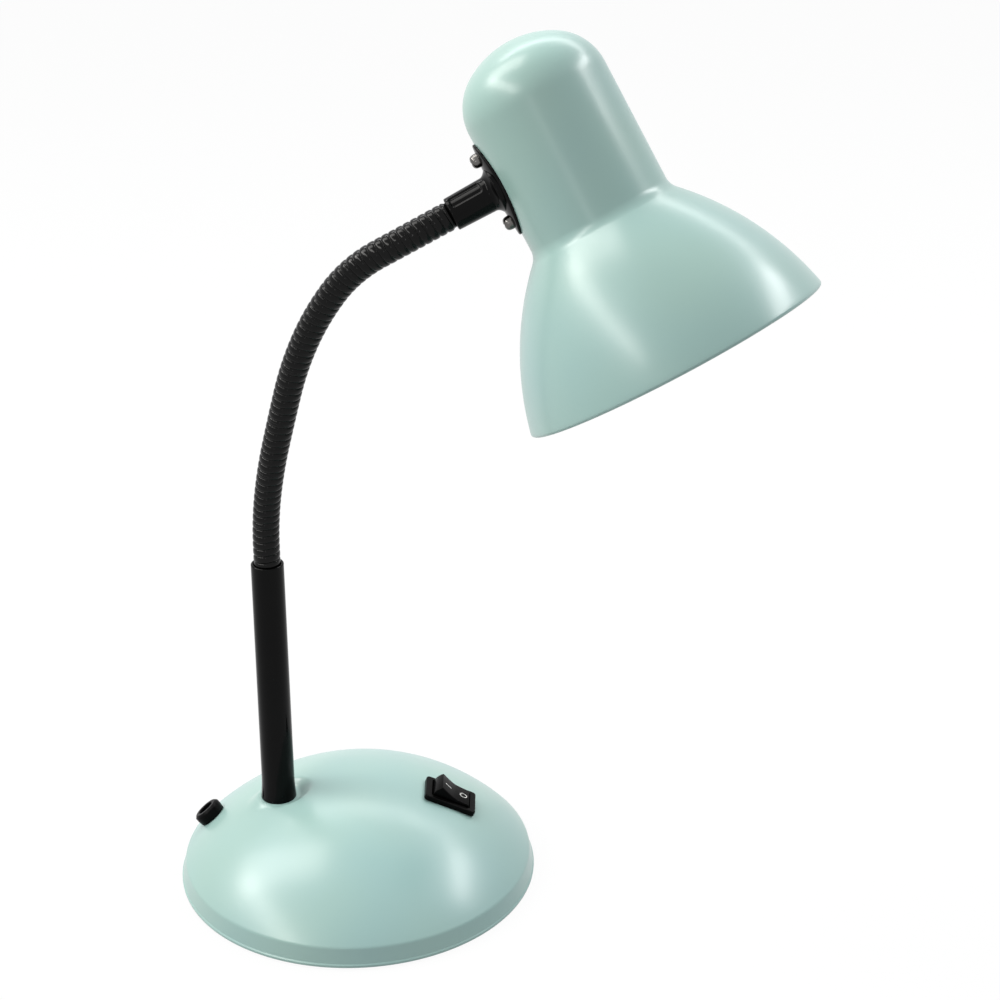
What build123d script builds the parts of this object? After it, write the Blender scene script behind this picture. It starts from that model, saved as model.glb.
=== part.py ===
from build123d import *
from math import cos, radians, sin, sqrt, tan
import os

# A desk lamp with a domed base, a bendable ribbed neck and a bell shade.
# Millimetres, +Z up. The origin is the middle of the face that the lamp stands on,
# the stem stands on the -X side of the base and the switch on its +X side.

# Dome and rim of the base
base_radius = 70.0
rim_taper = 1.8
rim_height = 7.6
rim_lift = 1.0
dome_rise = 30.0
crease_round = 2.5
shell_wall = 1.0

# Flat seat pressed into the dome under the stem
stem_offset = 30.8
seat_radius = 8.4
seat_sink = 1.3

# Pad, plate and weight under the dome
pad_thickness = 2.0
pad_edge = 7.0
plate_thickness = 1.2
plate_play = 0.3
weight_thickness = 8.0
weight_gap = 2.5
well_start = 14.0
well_width = 20.0
rivet_radius = 2.5
rivet_head_radius = 4.5
rivet_head_height = 1.5
rivet_place_share = 0.6

# Lugs welded inside the rim and the screws that go up into them
lug_count = 3
lug_first_angle = 90.0
lug_reach = 15.5
lug_width = 10.0
lug_height = 4.0
lug_edge = 5.5
base_screw_radius = 1.5
base_screw_head_radius = 2.8
base_screw_head_height = 1.7
base_screw_tip_gap = 0.6
screw_play = 0.15
pad_hole_play = 1.0

# Bush for the mains lead
bush_inset = 10.3
bush_angle = 171.0
bush_radius = 5.7
bush_height = 4.6
bush_chamfer = 0.9
bush_flange_radius = 6.2
bush_flange_height = 0.9
bush_neck_radius = 4.4
bush_bore_radius = 3.2
bush_hole_play = 0.1
bush_nut_width = 12.0
bush_nut_height = 4.0
bush_tail = 1.0

# Rocker switch
switch_offset = 36.5
bezel_length = 21.0
bezel_width = 15.0
bezel_thickness = 2.0
bezel_corner = 1.5
bezel_edge = 0.5
cutout_length = 19.2
cutout_width = 12.9
cutout_play = 0.1
body_depth = 12.5
window_length = 16.2
window_width = 11.2
window_floor_play = 0.3
rocker_radius = 7.7
rocker_play = 0.2
rocker_pivot_depth = 1.2
rocker_crown = 2.9
rocker_under = 3.0
rocker_dish_angle = 11.0
rocker_throw_angle = 30.0
trunnion_radius = 1.1
trunnion_length = 0.6
trunnion_play = 0.1
blade_width = 4.8
blade_thickness = 0.8
blade_root = 3.0
blade_spread = 9.0

# Sleeve over the lower end of the neck
neck_start = 133.3
sleeve_foot_radius = 6.95
sleeve_waist_radius = 6.4
sleeve_top_radius = 6.2
sleeve_foot_height = 10.0
sleeve_foot_round = 0.8
sleeve_lip = 0.5
sleeve_play = 0.25

# Threaded end of the neck, its washer and nut
nipple_radius = 4.0
nipple_shoulder = 8.0
nipple_tail = 2.0
nipple_hole_play = 0.15
washer_radius = 7.5
washer_thickness = 1.4
nut_width = 13.0
nut_height = 6.0

# Ribbed neck: a straight stub, seven links and a straight end
rib_pitch = 2.81
crest_radius = 5.05
valley_radius = 4.45
crest_start_share = 0.2
crest_end_share = 0.8
stub_ribs = 2
link_ribs = 8
end_ribs = 2
link_lean_angles = (12.6, 16.7, 17.6, 26.6, 36.9, 59.9, 63.5)
link_swing_angles = (-47.9, -34.1, -32.9, -26.6, -18.3, -8.3, 10.9)
bore_radius = 2.9
joint_play = 0.3
knuckle_radius = 5.4
flare_radius = 4.0
lead_radius = 2.6
lead_gap = 1.0

# Single cores that leave the ends of the lead
core_radius = 0.9
core_bend = 1.5
core_spread = 1.2
core_play = 0.1
core_entry = 3.5
core_grip = 5.0
core_lift = 1.5
core_drop = 3.0
switch_core_bend = 2.5

# Collar between neck and shade
collar_length = 18.1
head_twist_angle = -18.9
collar_mouth_radius = 5.85
collar_root_radius = 6.15
collar_skirt_radius = 8.6
collar_skirt_height = 2.2
collar_socket_depth = 10.0
collar_socket_play = 0.1
flange_half_length = 17.0
flange_half_width = 9.2
flange_thickness = 1.8
panel_length = 12.0
panel_width = 4.8
panel_angle = 38.0
panel_round = 1.2
panel_depth = 0.5
collar_screw_spread = 11.7
collar_screw_radius = 1.5
collar_screw_head_radius = 2.5
collar_screw_head_height = 2.2
collar_screw_head_round = 0.8

# Shade: a round-topped housing that opens into a bell
housing_radius = 25.9
crown_height = 41.4
crown_radius = 32.0
shoulder_radius = 19.2
throat_round = 6.4
bell_radius = 106.7
mouth_radius = 55.6
mouth_depth = 78.55
mouth_angle = 13.1
shade_wall = 0.8
lip_radius = 1.0
lead_hole_play = 0.4

# Bracket inside the housing
bracket_thickness = 2.0
bracket_width = 12.0
bracket_low = 16.0
bracket_high = 17.5
bracket_tab_reach = 8.0

# Lampholder and its metal
core_channel_width = 2.5
holder_mouth = 18.0
holder_floor = -8.0
holder_wall = 6.4
thread_wall = 0.6
thread_length = 18.0
thread_lift = 2.0
contact_radius = 4.0
contact_height = 1.5
holder_screw_radius = 1.5
holder_screw_head_radius = 2.75
holder_screw_head_height = 1.8
holder_screw_spread = 3.4
holder_screw_grip = 5.0

# Small globe lamp
cap_play = 0.5
cap_groove = 0.6
cap_threads = 5
cap_pitch = 3.6
cap_skirt = 3.0
cap_wall = 0.5
tip_height = 2.5
tip_radius = 3.0
insulator_inset = 4.1
globe_radius = 22.5
globe_wall = 1.0
globe_neck_inset = 0.7
globe_drop = 26.0

overrun = 1.0

# Heights and curves that follow from the sizes above
plate_top = pad_thickness + plate_thickness
weight_top = plate_top + weight_thickness
crease_top = rim_lift + rim_height
dome_top = crease_top + dome_rise
crease_radius = base_radius - rim_taper
dome_radius = (crease_radius**2 + dome_rise**2) / (2 * dome_rise)
dome_centre = dome_top - dome_radius
inner_crease_radius = crease_radius - shell_wall
lug_inner_radius = crease_radius - lug_reach
screw_circle = lug_inner_radius + lug_edge
weight_radius = lug_inner_radius - weight_gap
pad_radius = screw_circle + pad_edge
rivet_spread = weight_radius * rivet_place_share


def dome_height(radius, depth=0.0):
    """Height of the dome at a distance from its middle, at a depth under its outer face."""
    return dome_centre + sqrt((dome_radius - depth) ** 2 - radius**2)


def dome_plane(reach, angle):
    """Plane that touches the dome, its X axis pointing downhill and its Z axis outwards."""
    turn = radians(angle)
    sine = reach / dome_radius
    cosine = sqrt(1 - sine**2)
    outward = Vector(cos(turn), sin(turn), 0)
    return Plane(
        origin=outward * reach + Vector(0, 0, dome_height(reach)),
        x_dir=outward * cosine - Vector(0, 0, sine),
        z_dir=outward * sine + Vector(0, 0, cosine),
    )


def profile_plane(plane):
    """Plane of a half profile: its X is the given plane's X and its Y the given plane's Z."""
    return Plane(origin=plane.origin, x_dir=plane.x_dir, z_dir=-plane.y_dir)


def keep(block, name):
    """Label a finished piece and write it under its own name."""
    block.part.label = name
    export_step(block.part, f"parts/{name}.step")


seat_top = dome_height(stem_offset) - seat_sink
seat_blend = shell_wall * tan(radians(45 / 2))
stem_plane = Plane(origin=(-stem_offset, 0, seat_top))
switch_plane = dome_plane(switch_offset, 0)
bush_plane = dome_plane(base_radius - bush_inset, bush_angle)
os.makedirs("parts", exist_ok=True)

# Hollow of the base, with the lugs left standing in it
with BuildPart() as hollow:
    rim_inside = base_radius - shell_wall
    inner_crease_top = dome_height(inner_crease_radius, shell_wall)
    inner_middle = (inner_crease_radius / 2, dome_height(inner_crease_radius / 2, shell_wall))
    with BuildSketch(Plane.XZ):
        with BuildLine():
            Polyline(
                (0, dome_top - shell_wall),
                (0, 0),
                (rim_inside, 0),
                (rim_inside, rim_lift),
                (inner_crease_radius, inner_crease_top),
            )
            ThreePointArc((inner_crease_radius, inner_crease_top), inner_middle, (0, dome_top - shell_wall))
        make_face()
    revolve(axis=Axis.Z)
    with Locations((-stem_offset, 0, seat_top - shell_wall)):
        Cone(
            bottom_radius=seat_radius - seat_blend + seat_radius,
            top_radius=seat_radius - seat_blend,
            height=seat_radius,
            align=(Align.CENTER, Align.CENTER, Align.MAX),
        )
        Cone(
            bottom_radius=seat_radius + seat_blend,
            top_radius=seat_radius + seat_blend + seat_radius,
            height=seat_radius,
            align=(Align.CENTER, Align.CENTER, Align.MIN),
            mode=Mode.SUBTRACT,
        )
    with Locations((0, 0, plate_top)):
        with PolarLocations(lug_inner_radius, lug_count, start_angle=lug_first_angle):
            Box(
                lug_reach + rim_taper,
                lug_width,
                lug_height,
                align=(Align.MIN, Align.CENTER, Align.MIN),
                mode=Mode.SUBTRACT,
            )

# Pressed shell
with BuildPart() as base_shell:
    with BuildSketch(Plane.XZ) as dome_profile:
        with BuildLine():
            Polyline((0, dome_top), (0, rim_lift), (base_radius, rim_lift), (crease_radius, crease_top))
            ThreePointArc(
                (crease_radius, crease_top),
                (crease_radius / 2, dome_height(crease_radius / 2)),
                (0, dome_top),
            )
        make_face()
        fillet(dome_profile.vertices().sort_by_distance((crease_radius, crease_top))[0], crease_round)
    revolve(axis=Axis.Z)
    with Locations(stem_plane):
        Cone(
            bottom_radius=seat_radius + seat_radius,
            top_radius=seat_radius,
            height=seat_radius,
            align=(Align.CENTER, Align.CENTER, Align.MAX),
        )
        Cone(
            bottom_radius=seat_radius,
            top_radius=seat_radius + seat_radius,
            height=seat_radius,
            align=(Align.CENTER, Align.CENTER, Align.MIN),
            mode=Mode.SUBTRACT,
        )
    add(hollow.part, mode=Mode.SUBTRACT)
    with Locations(stem_plane):
        Cylinder(nipple_radius + nipple_hole_play, 2 * (shell_wall + overrun), mode=Mode.SUBTRACT)
    with Locations(switch_plane):
        Box(cutout_length, cutout_width, body_depth, mode=Mode.SUBTRACT)
    with Locations(bush_plane):
        Cylinder(bush_neck_radius + bush_hole_play, bush_height + bush_nut_height, mode=Mode.SUBTRACT)
        Cylinder(
            bush_flange_radius + bush_hole_play,
            bush_height,
            align=(Align.CENTER, Align.CENTER, Align.MIN),
            mode=Mode.SUBTRACT,
        )
    with Locations((0, 0, plate_top)):
        with PolarLocations(screw_circle, lug_count, start_angle=lug_first_angle):
            Cylinder(base_screw_radius, 2 * (lug_height + overrun), mode=Mode.SUBTRACT)
keep(base_shell, "base_shell")

# Plate that closes the base
with BuildPart() as bottom_plate:
    rim_slope = (rim_inside - inner_crease_radius) / (inner_crease_top - rim_lift)
    plate_radius = rim_inside - rim_slope * (plate_top - rim_lift) - plate_play
    with BuildSketch(Plane.XY.offset(pad_thickness)):
        Circle(plate_radius)
        with PolarLocations(screw_circle, lug_count, start_angle=lug_first_angle):
            Circle(base_screw_radius + screw_play, mode=Mode.SUBTRACT)
        with PolarLocations(rivet_spread, 2, start_angle=lug_first_angle):
            Circle(rivet_radius, mode=Mode.SUBTRACT)
    extrude(amount=plate_thickness)
keep(bottom_plate, "bottom_plate")

# Cast weight with a notch under the switch
with BuildPart() as base_weight:
    with BuildSketch(Plane.XY.offset(plate_top)):
        Circle(weight_radius)
        with Locations((well_start, 0)):
            Rectangle(weight_radius, well_width, align=(Align.MIN, Align.CENTER), mode=Mode.SUBTRACT)
        with PolarLocations(rivet_spread, 2, start_angle=lug_first_angle):
            Circle(rivet_radius, mode=Mode.SUBTRACT)
    extrude(amount=weight_thickness)
keep(base_weight, "base_weight")

# Rivets through plate and weight
with BuildPart() as weight_rivets:
    with BuildSketch(Plane.XY.offset(pad_thickness)):
        with PolarLocations(rivet_spread, 2, start_angle=lug_first_angle):
            Circle(rivet_radius)
    extrude(amount=plate_thickness + weight_thickness)
    with BuildSketch(Plane.XY.offset(weight_top)):
        with PolarLocations(rivet_spread, 2, start_angle=lug_first_angle):
            Circle(rivet_head_radius)
    extrude(amount=rivet_head_height, taper=30)
keep(weight_rivets, "weight_rivets")

# Screws up into the lugs
with BuildPart() as base_screws:
    with BuildSketch(Plane.XY.offset(pad_thickness)):
        with PolarLocations(screw_circle, lug_count, start_angle=lug_first_angle):
            Circle(base_screw_radius)
    extrude(amount=plate_thickness + lug_height - base_screw_tip_gap)
    with BuildSketch(Plane.XY.offset(pad_thickness)):
        with PolarLocations(screw_circle, lug_count, start_angle=lug_first_angle):
            Circle(base_screw_head_radius)
    extrude(amount=-base_screw_head_height)
keep(base_screws, "base_screws")

# Soft disc that the lamp stands on
with BuildPart() as base_pad:
    with BuildSketch():
        Circle(pad_radius)
        with PolarLocations(screw_circle, lug_count, start_angle=lug_first_angle):
            Circle(base_screw_head_radius + pad_hole_play, mode=Mode.SUBTRACT)
    extrude(amount=pad_thickness)
keep(base_pad, "base_pad")

# Bush for the mains lead, and the nut behind the shell
nut_corner = bush_nut_width / sqrt(3)
nut_top = (dome_radius - shell_wall) - sqrt((dome_radius - shell_wall) ** 2 - nut_corner**2) + shell_wall
bush_bottom = nut_top + bush_nut_height + bush_tail
with BuildPart() as cord_bush:
    with BuildSketch(profile_plane(bush_plane)):
        with BuildLine():
            Polyline(
                (bush_bore_radius, -bush_bottom),
                (bush_neck_radius, -bush_bottom),
                (bush_neck_radius, 0),
                (bush_flange_radius, 0),
                (bush_flange_radius, bush_flange_height),
                (bush_radius, bush_flange_height),
                (bush_radius, bush_height - bush_chamfer),
                (bush_radius - bush_chamfer, bush_height),
                (bush_bore_radius, bush_height),
                close=True,
            )
        make_face()
    revolve(axis=Axis(bush_plane.origin, bush_plane.z_dir))
keep(cord_bush, "cord_bush")

with BuildPart() as bush_nut:
    with BuildSketch(bush_plane.offset(-nut_top)):
        RegularPolygon(bush_nut_width / 2, 6, major_radius=False)
        Circle(bush_neck_radius, mode=Mode.SUBTRACT)
    extrude(amount=-bush_nut_height)
keep(bush_nut, "bush_nut")

# Switch body with its bezel, standing on the long edges of the cut-out
bezel_drop = dome_radius - sqrt(dome_radius**2 - (cutout_width / 2) ** 2)
bezel_top = bezel_thickness - bezel_drop
pivot_level = bezel_top - rocker_pivot_depth
half_throw = radians(rocker_throw_angle / 2)
rocker_foot = sqrt(rocker_radius**2 - rocker_under**2)
rocker_dip = rocker_under * cos(half_throw) + rocker_foot * sin(half_throw)
window_depth = rocker_pivot_depth + rocker_dip + window_floor_play
with BuildPart() as switch_housing:
    with BuildSketch(switch_plane.offset(-bezel_drop)):
        RectangleRounded(bezel_length, bezel_width, bezel_corner)
    extrude(amount=bezel_thickness)
    bezel_face = switch_housing.faces().sort_by(Axis(switch_plane.origin, switch_plane.z_dir))[-1]
    fillet(bezel_face.edges(), bezel_edge)
    with BuildSketch(switch_plane.offset(-bezel_drop)):
        Rectangle(cutout_length - 2 * cutout_play, cutout_width - 2 * cutout_play)
    extrude(amount=-body_depth)
    with BuildSketch(switch_plane.offset(bezel_top)):
        Rectangle(window_length, window_width)
    extrude(amount=-window_depth, mode=Mode.SUBTRACT)
    with BuildSketch(profile_plane(switch_plane.offset(pivot_level))):
        Circle(trunnion_radius + trunnion_play)
    extrude(
        amount=window_width / 2 + trunnion_length,
        both=True,
        mode=Mode.SUBTRACT,
    )
    with BuildSketch(switch_plane.offset(-bezel_drop - body_depth)):
        with GridLocations(blade_spread, 0, 2, 1):
            Rectangle(blade_thickness, blade_width)
    extrude(amount=blade_root, mode=Mode.SUBTRACT)
keep(switch_housing, "switch_housing")

# Rocker, its outer end pressed in
rocker_plane = Plane(
    origin=switch_plane.offset(pivot_level).origin,
    x_dir=switch_plane.x_dir * cos(half_throw) - switch_plane.z_dir * sin(half_throw),
    z_dir=switch_plane.z_dir * cos(half_throw) + switch_plane.x_dir * sin(half_throw),
)
with BuildPart() as switch_rocker:
    crest = rocker_crown + rocker_radius * tan(radians(rocker_dish_angle))
    rocker_width = window_width - 2 * rocker_play
    with BuildSketch(profile_plane(rocker_plane)):
        with BuildLine():
            Polyline(
                (0, rocker_crown),
                (rocker_radius, crest),
                (rocker_radius, -rocker_under),
                (-rocker_radius, -rocker_under),
                (-rocker_radius, crest),
                close=True,
            )
        make_face()
        Circle(rocker_radius, mode=Mode.INTERSECT)
    extrude(amount=rocker_width / 2, both=True)
    with BuildSketch(profile_plane(rocker_plane)):
        Circle(trunnion_radius)
    extrude(amount=rocker_width / 2 + trunnion_length, both=True)
keep(switch_rocker, "switch_rocker")

# Blades under the switch, ending above the core that runs over the weight
core_level = weight_top + core_lift
body_bottom = switch_plane.offset(-bezel_drop - body_depth)
blade_start = body_bottom.origin - switch_plane.x_dir * blade_spread / 2
blade_length = (blade_start.Z - core_level) / switch_plane.z_dir.Z - core_drop
with BuildPart() as switch_terminals:
    with BuildSketch(body_bottom.offset(blade_root)):
        with GridLocations(blade_spread, 0, 2, 1):
            Rectangle(blade_thickness, blade_width)
    extrude(amount=-blade_root - blade_length)
keep(switch_terminals, "switch_terminals")

# Sleeve
sleeve_bore = crest_radius + sleeve_play
with BuildPart() as stem_sleeve:
    sleeve_height = neck_start - seat_top
    with BuildSketch(profile_plane(stem_plane)) as sleeve_profile:
        with BuildLine():
            Polyline(
                (sleeve_bore, 0),
                (sleeve_foot_radius, 0),
                (sleeve_waist_radius, sleeve_foot_height),
                (sleeve_top_radius, sleeve_height - sleeve_lip),
                (sleeve_top_radius - sleeve_lip, sleeve_height),
                (sleeve_bore, sleeve_height),
                close=True,
            )
        make_face()
        fillet(sleeve_profile.vertices().sort_by_distance((sleeve_foot_radius, 0))[0], sleeve_foot_round)
    revolve(axis=Axis(stem_plane.origin, (0, 0, 1)))
keep(stem_sleeve, "stem_sleeve")

# Threaded end of the neck, clamped to the seat by washer and nut
washer_top = shell_wall
nut_face = washer_top + washer_thickness
nipple_bottom = nut_face + nut_height + nipple_tail
with BuildPart() as neck_nipple:
    with BuildSketch(stem_plane):
        Circle(crest_radius)
        Circle(bore_radius, mode=Mode.SUBTRACT)
    extrude(amount=nipple_shoulder)
    with BuildSketch(stem_plane):
        Circle(nipple_radius)
        Circle(bore_radius, mode=Mode.SUBTRACT)
    extrude(amount=-nipple_bottom)
keep(neck_nipple, "neck_nipple")

with BuildPart() as nipple_washer:
    with BuildSketch(stem_plane.offset(-washer_top)):
        Circle(washer_radius)
        Circle(nipple_radius + nipple_hole_play, mode=Mode.SUBTRACT)
    extrude(amount=-washer_thickness)
keep(nipple_washer, "nipple_washer")

with BuildPart() as nipple_nut:
    with BuildSketch(stem_plane.offset(-nut_face)):
        RegularPolygon(nut_width / 2, 6, major_radius=False)
        Circle(nipple_radius, mode=Mode.SUBTRACT)
    extrude(amount=-nut_height)
keep(nipple_nut, "nipple_nut")

# Line of the neck: upright in the sleeve, then one arc for each link up to the link's own heading
up_dir = Vector(0, 0, 1)
headings = [up_dir]
for lean, swing in zip(link_lean_angles, link_swing_angles):
    level_dir = Vector(cos(radians(swing)), sin(radians(swing)), 0)
    headings.append(level_dir * sin(radians(lean)) + up_dir * cos(radians(lean)))
stub_length = stub_ribs * rib_pitch
link_length = link_ribs * rib_pitch
neck_length = stub_length + len(link_lean_angles) * link_length + end_ribs * rib_pitch


def neck_plane(length):
    """Plane across the neck at a length from the top of the sleeve, its X axis always level."""
    left = max(length - stub_length, 0)
    origin = Vector(-stem_offset, 0, neck_start + length - left)
    towards = up_dir
    for start, stop in zip(headings, headings[1:]):
        if not left:
            break
        step = min(left, link_length)
        bend = radians(start.get_angle(stop))
        turn = bend * step / link_length
        across = (stop - start * cos(bend)) / sin(bend)
        origin += (start * sin(turn) + across * (1 - cos(turn))) * (link_length / bend)
        towards = start * cos(turn) + across * sin(turn)
        left -= step
    level = up_dir.cross(headings[1] if towards == up_dir else towards)
    return Plane(origin=origin + towards * left, x_dir=level, z_dir=towards)


def rib_circles(first, last):
    """Lengths and radii of the circles through the ribs from first to last."""
    circles = [(first * rib_pitch, valley_radius)]
    for rib in range(first, last):
        circles.append(((rib + crest_start_share) * rib_pitch, crest_radius))
        circles.append(((rib + crest_end_share) * rib_pitch, crest_radius))
        circles.append(((rib + 1) * rib_pitch, valley_radius))
    return circles


# Each joint turns about a point just above a valley, so that the rib over it fits a ball
pivot_lift = crest_end_share * rib_pitch - sqrt(knuckle_radius**2 - crest_radius**2)
joint_ribs = [stub_ribs + link_ribs * number for number in range(len(headings))]
joint_lengths = [rib * rib_pitch + pivot_lift for rib in joint_ribs]
neck_bottom = seat_top + nipple_shoulder - neck_start
hidden_ribs = int((-neck_bottom - 2 * crest_radius) // rib_pitch)
neck_tip = neck_length + collar_socket_depth
section_count = len(joint_ribs) + 1

for number in range(section_count):
    lowest = number == 0
    topmost = number == section_count - 1
    first_rib = -hidden_ribs if lowest else joint_ribs[number - 1] + 1
    last_rib = joint_ribs[-1] + end_ribs if topmost else joint_ribs[number] + 1
    circles = rib_circles(first_rib, last_rib)
    hole = [(rib * rib_pitch, bore_radius) for rib in range(first_rib, last_rib)]
    if lowest:
        circles.insert(0, (neck_bottom, valley_radius))
        hole = [(neck_bottom, bore_radius), (stub_length, bore_radius)]
    if topmost:
        circles.append((neck_tip, valley_radius))
        hole.append((neck_tip, bore_radius))
    else:
        hole.append((last_rib * rib_pitch, flare_radius))
    with BuildPart() as neck_section:
        for length, radius in circles:
            with BuildSketch(neck_plane(length)):
                Circle(radius)
        loft(ruled=True)
        for length, radius in hole:
            with BuildSketch(neck_plane(length)):
                Circle(radius)
        loft(ruled=True, mode=Mode.SUBTRACT)
        if not lowest:
            with Locations(neck_plane(joint_lengths[number - 1]).origin):
                Sphere(knuckle_radius + joint_play, mode=Mode.SUBTRACT)
    keep(neck_section, f"neck_section_{number + 1}")

# Head frame: the collar's line meets the shade's axis square
neck_end = neck_plane(neck_length)
reach_dir = neck_end.z_dir
twist = radians(head_twist_angle)
head_reach = housing_radius + collar_length
side_dir = neck_end.x_dir * cos(twist) + neck_end.y_dir * sin(twist)
axis_dir = side_dir.cross(reach_dir)
head_centre = neck_end.origin + reach_dir * head_reach
shade_profile = Plane(origin=head_centre, x_dir=reach_dir, z_dir=reach_dir.cross(axis_dir))
shade_axis = Axis(head_centre, axis_dir)
inner_radius = housing_radius - shade_wall


def across_shade(depth):
    """Plane across the shade at a depth from the collar's line towards the mouth."""
    return Plane(origin=head_centre + axis_dir * depth, x_dir=side_dir, z_dir=axis_dir)


def across_collar(reach):
    """Plane across the collar at a reach from the shade's axis back towards the neck."""
    return Plane(origin=head_centre - reach_dir * reach, x_dir=side_dir, z_dir=-reach_dir)


# Lead inside each section, parted at the joints
lead_inner_end = neck_length + head_reach - inner_radius
for number in range(section_count):
    lowest = number == 0
    topmost = number == section_count - 1
    start = seat_top - nipple_bottom - neck_start if lowest else joint_lengths[number - 1] + lead_gap / 2
    stop = lead_inner_end if topmost else joint_lengths[number] - lead_gap / 2
    between = [rib * rib_pitch for rib in range(stub_ribs, joint_ribs[-1] + 1)]
    stations = [start] + [length for length in between if start < length < stop] + [stop]
    with BuildPart() as neck_lead:
        for length in stations:
            with BuildSketch(neck_plane(length)):
                Circle(lead_radius)
        loft(ruled=True)
    keep(neck_lead, f"neck_lead_{number + 1}")

# Core from the lower end of the lead to the inner blade of the switch
with BuildPart() as switch_core:
    blade_end = blade_start - switch_plane.z_dir * blade_length
    with BuildLine() as switch_route:
        FilletPolyline(
            (-stem_offset, 0, seat_top - nipple_bottom),
            (-stem_offset, 0, core_level),
            blade_end - switch_plane.z_dir * core_drop,
            blade_end,
            radius=switch_core_bend,
        )
    with BuildSketch(Plane(origin=switch_route.line @ 0, z_dir=switch_route.line % 0)):
        Circle(core_radius)
    sweep(path=switch_route.line)
keep(switch_core, "switch_core")

# Collar with its saddle flange
with BuildPart() as neck_collar:
    with BuildSketch(across_collar(0)):
        Ellipse(flange_half_width, flange_half_length)
    extrude(amount=housing_radius + flange_thickness)
    with BuildSketch(across_shade(0)):
        Circle(housing_radius + flange_thickness)
    extrude(amount=flange_half_length, both=True, mode=Mode.INTERSECT)
    skirt_reach = housing_radius + flange_thickness + collar_skirt_height
    with BuildSketch(across_collar(inner_radius)):
        Circle(collar_skirt_radius)
    with BuildSketch(across_collar(skirt_reach)):
        Circle(collar_root_radius)
    with BuildSketch(across_collar(head_reach)):
        Circle(collar_mouth_radius)
    loft(ruled=True)
    with BuildSketch(across_shade(0)):
        Circle(housing_radius)
    extrude(amount=flange_half_length + overrun, both=True, mode=Mode.SUBTRACT)
    with BuildSketch(across_collar(head_reach)):
        Circle(valley_radius + collar_socket_play)
    extrude(amount=-collar_socket_depth, mode=Mode.SUBTRACT)
    with BuildSketch(across_collar(head_reach)):
        Circle(bore_radius)
    extrude(amount=-head_reach, mode=Mode.SUBTRACT)
    with BuildSketch(across_collar(housing_radius)):
        with GridLocations(0, 2 * collar_screw_spread, 1, 2):
            Circle(collar_screw_radius + screw_play)
    extrude(amount=housing_radius, both=True, mode=Mode.SUBTRACT)
    panel_middle = head_centre - reach_dir * (skirt_reach + head_reach) / 2
    panel_rise = axis_dir * sin(radians(panel_angle))
    for side in (side_dir, -side_dir):
        panel_dir = side * cos(radians(panel_angle)) - panel_rise
        panel_plane = Plane(origin=panel_middle, x_dir=reach_dir, z_dir=panel_dir)
        with BuildSketch(panel_plane.offset(collar_mouth_radius - panel_depth)):
            RectangleRounded(panel_length, panel_width, panel_round)
        extrude(amount=collar_root_radius, mode=Mode.SUBTRACT)
keep(neck_collar, "neck_collar")

# Screws through flange and housing into the bracket
with BuildPart() as collar_screws:
    flange_face = housing_radius + flange_thickness
    with BuildSketch(across_collar(flange_face)):
        with GridLocations(0, 2 * collar_screw_spread, 1, 2):
            Circle(collar_screw_head_radius)
    extrude(amount=collar_screw_head_height)
    head_edges = collar_screws.faces().sort_by(Axis(head_centre, -reach_dir))[-2:].edges()
    fillet(head_edges, collar_screw_head_round)
    with BuildSketch(across_collar(flange_face)):
        with GridLocations(0, 2 * collar_screw_spread, 1, 2):
            Circle(collar_screw_radius)
    extrude(amount=-flange_thickness - shade_wall - bracket_thickness)
keep(collar_screws, "collar_screws")

# Curves of the shade, worked out for the outer face and repeated a wall further in
crown_centre = crown_radius - crown_height
shoulder_run = housing_radius - shoulder_radius
shoulder_centre = crown_centre - sqrt((crown_radius - shoulder_radius) ** 2 - shoulder_run**2)
bell_centre = (
    mouth_radius - bell_radius * cos(radians(mouth_angle)),
    mouth_depth + bell_radius * sin(radians(mouth_angle)),
)
throat_run = housing_radius + throat_round - bell_centre[0]
throat_centre = bell_centre[1] - sqrt((bell_radius + throat_round) ** 2 - throat_run**2)


def on_arc(centre, radius, towards):
    """Point of an arc that lies towards a place."""
    run, rise = towards[0] - centre[0], towards[1] - centre[1]
    size = sqrt(run**2 + rise**2)
    return (centre[0] + radius * run / size, centre[1] + radius * rise / size)


def middle_of(centre, radius, start, stop):
    """Point half way along an arc."""
    return on_arc(centre, radius, ((start[0] + stop[0]) / 2, (start[1] + stop[1]) / 2))


def shade_curve(inset):
    """Draw the shade's profile, at a depth under its outer face, from the crown to the mouth."""
    crown = (0, crown_centre)
    shoulder = (shoulder_run, shoulder_centre)
    throat = (housing_radius + throat_round, throat_centre)
    top = (0, inset - crown_height)
    round_start = on_arc(crown, crown_radius - inset, shoulder)
    round_stop = (housing_radius - inset, shoulder_centre)
    throat_start = (housing_radius - inset, throat_centre)
    throat_stop = on_arc(throat, throat_round + inset, bell_centre)
    mouth = on_arc(bell_centre, bell_radius - inset, (mouth_radius, mouth_depth))
    ThreePointArc(top, middle_of(crown, crown_radius - inset, top, round_start), round_start)
    ThreePointArc(
        round_start,
        middle_of(shoulder, shoulder_radius - inset, round_start, round_stop),
        round_stop,
    )
    Line(round_stop, throat_start)
    ThreePointArc(
        throat_start,
        middle_of(throat, throat_round + inset, throat_start, throat_stop),
        throat_stop,
    )
    ThreePointArc(
        throat_stop,
        middle_of(bell_centre, bell_radius - inset, throat_stop, mouth),
        mouth,
    )
    return top, mouth


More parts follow.
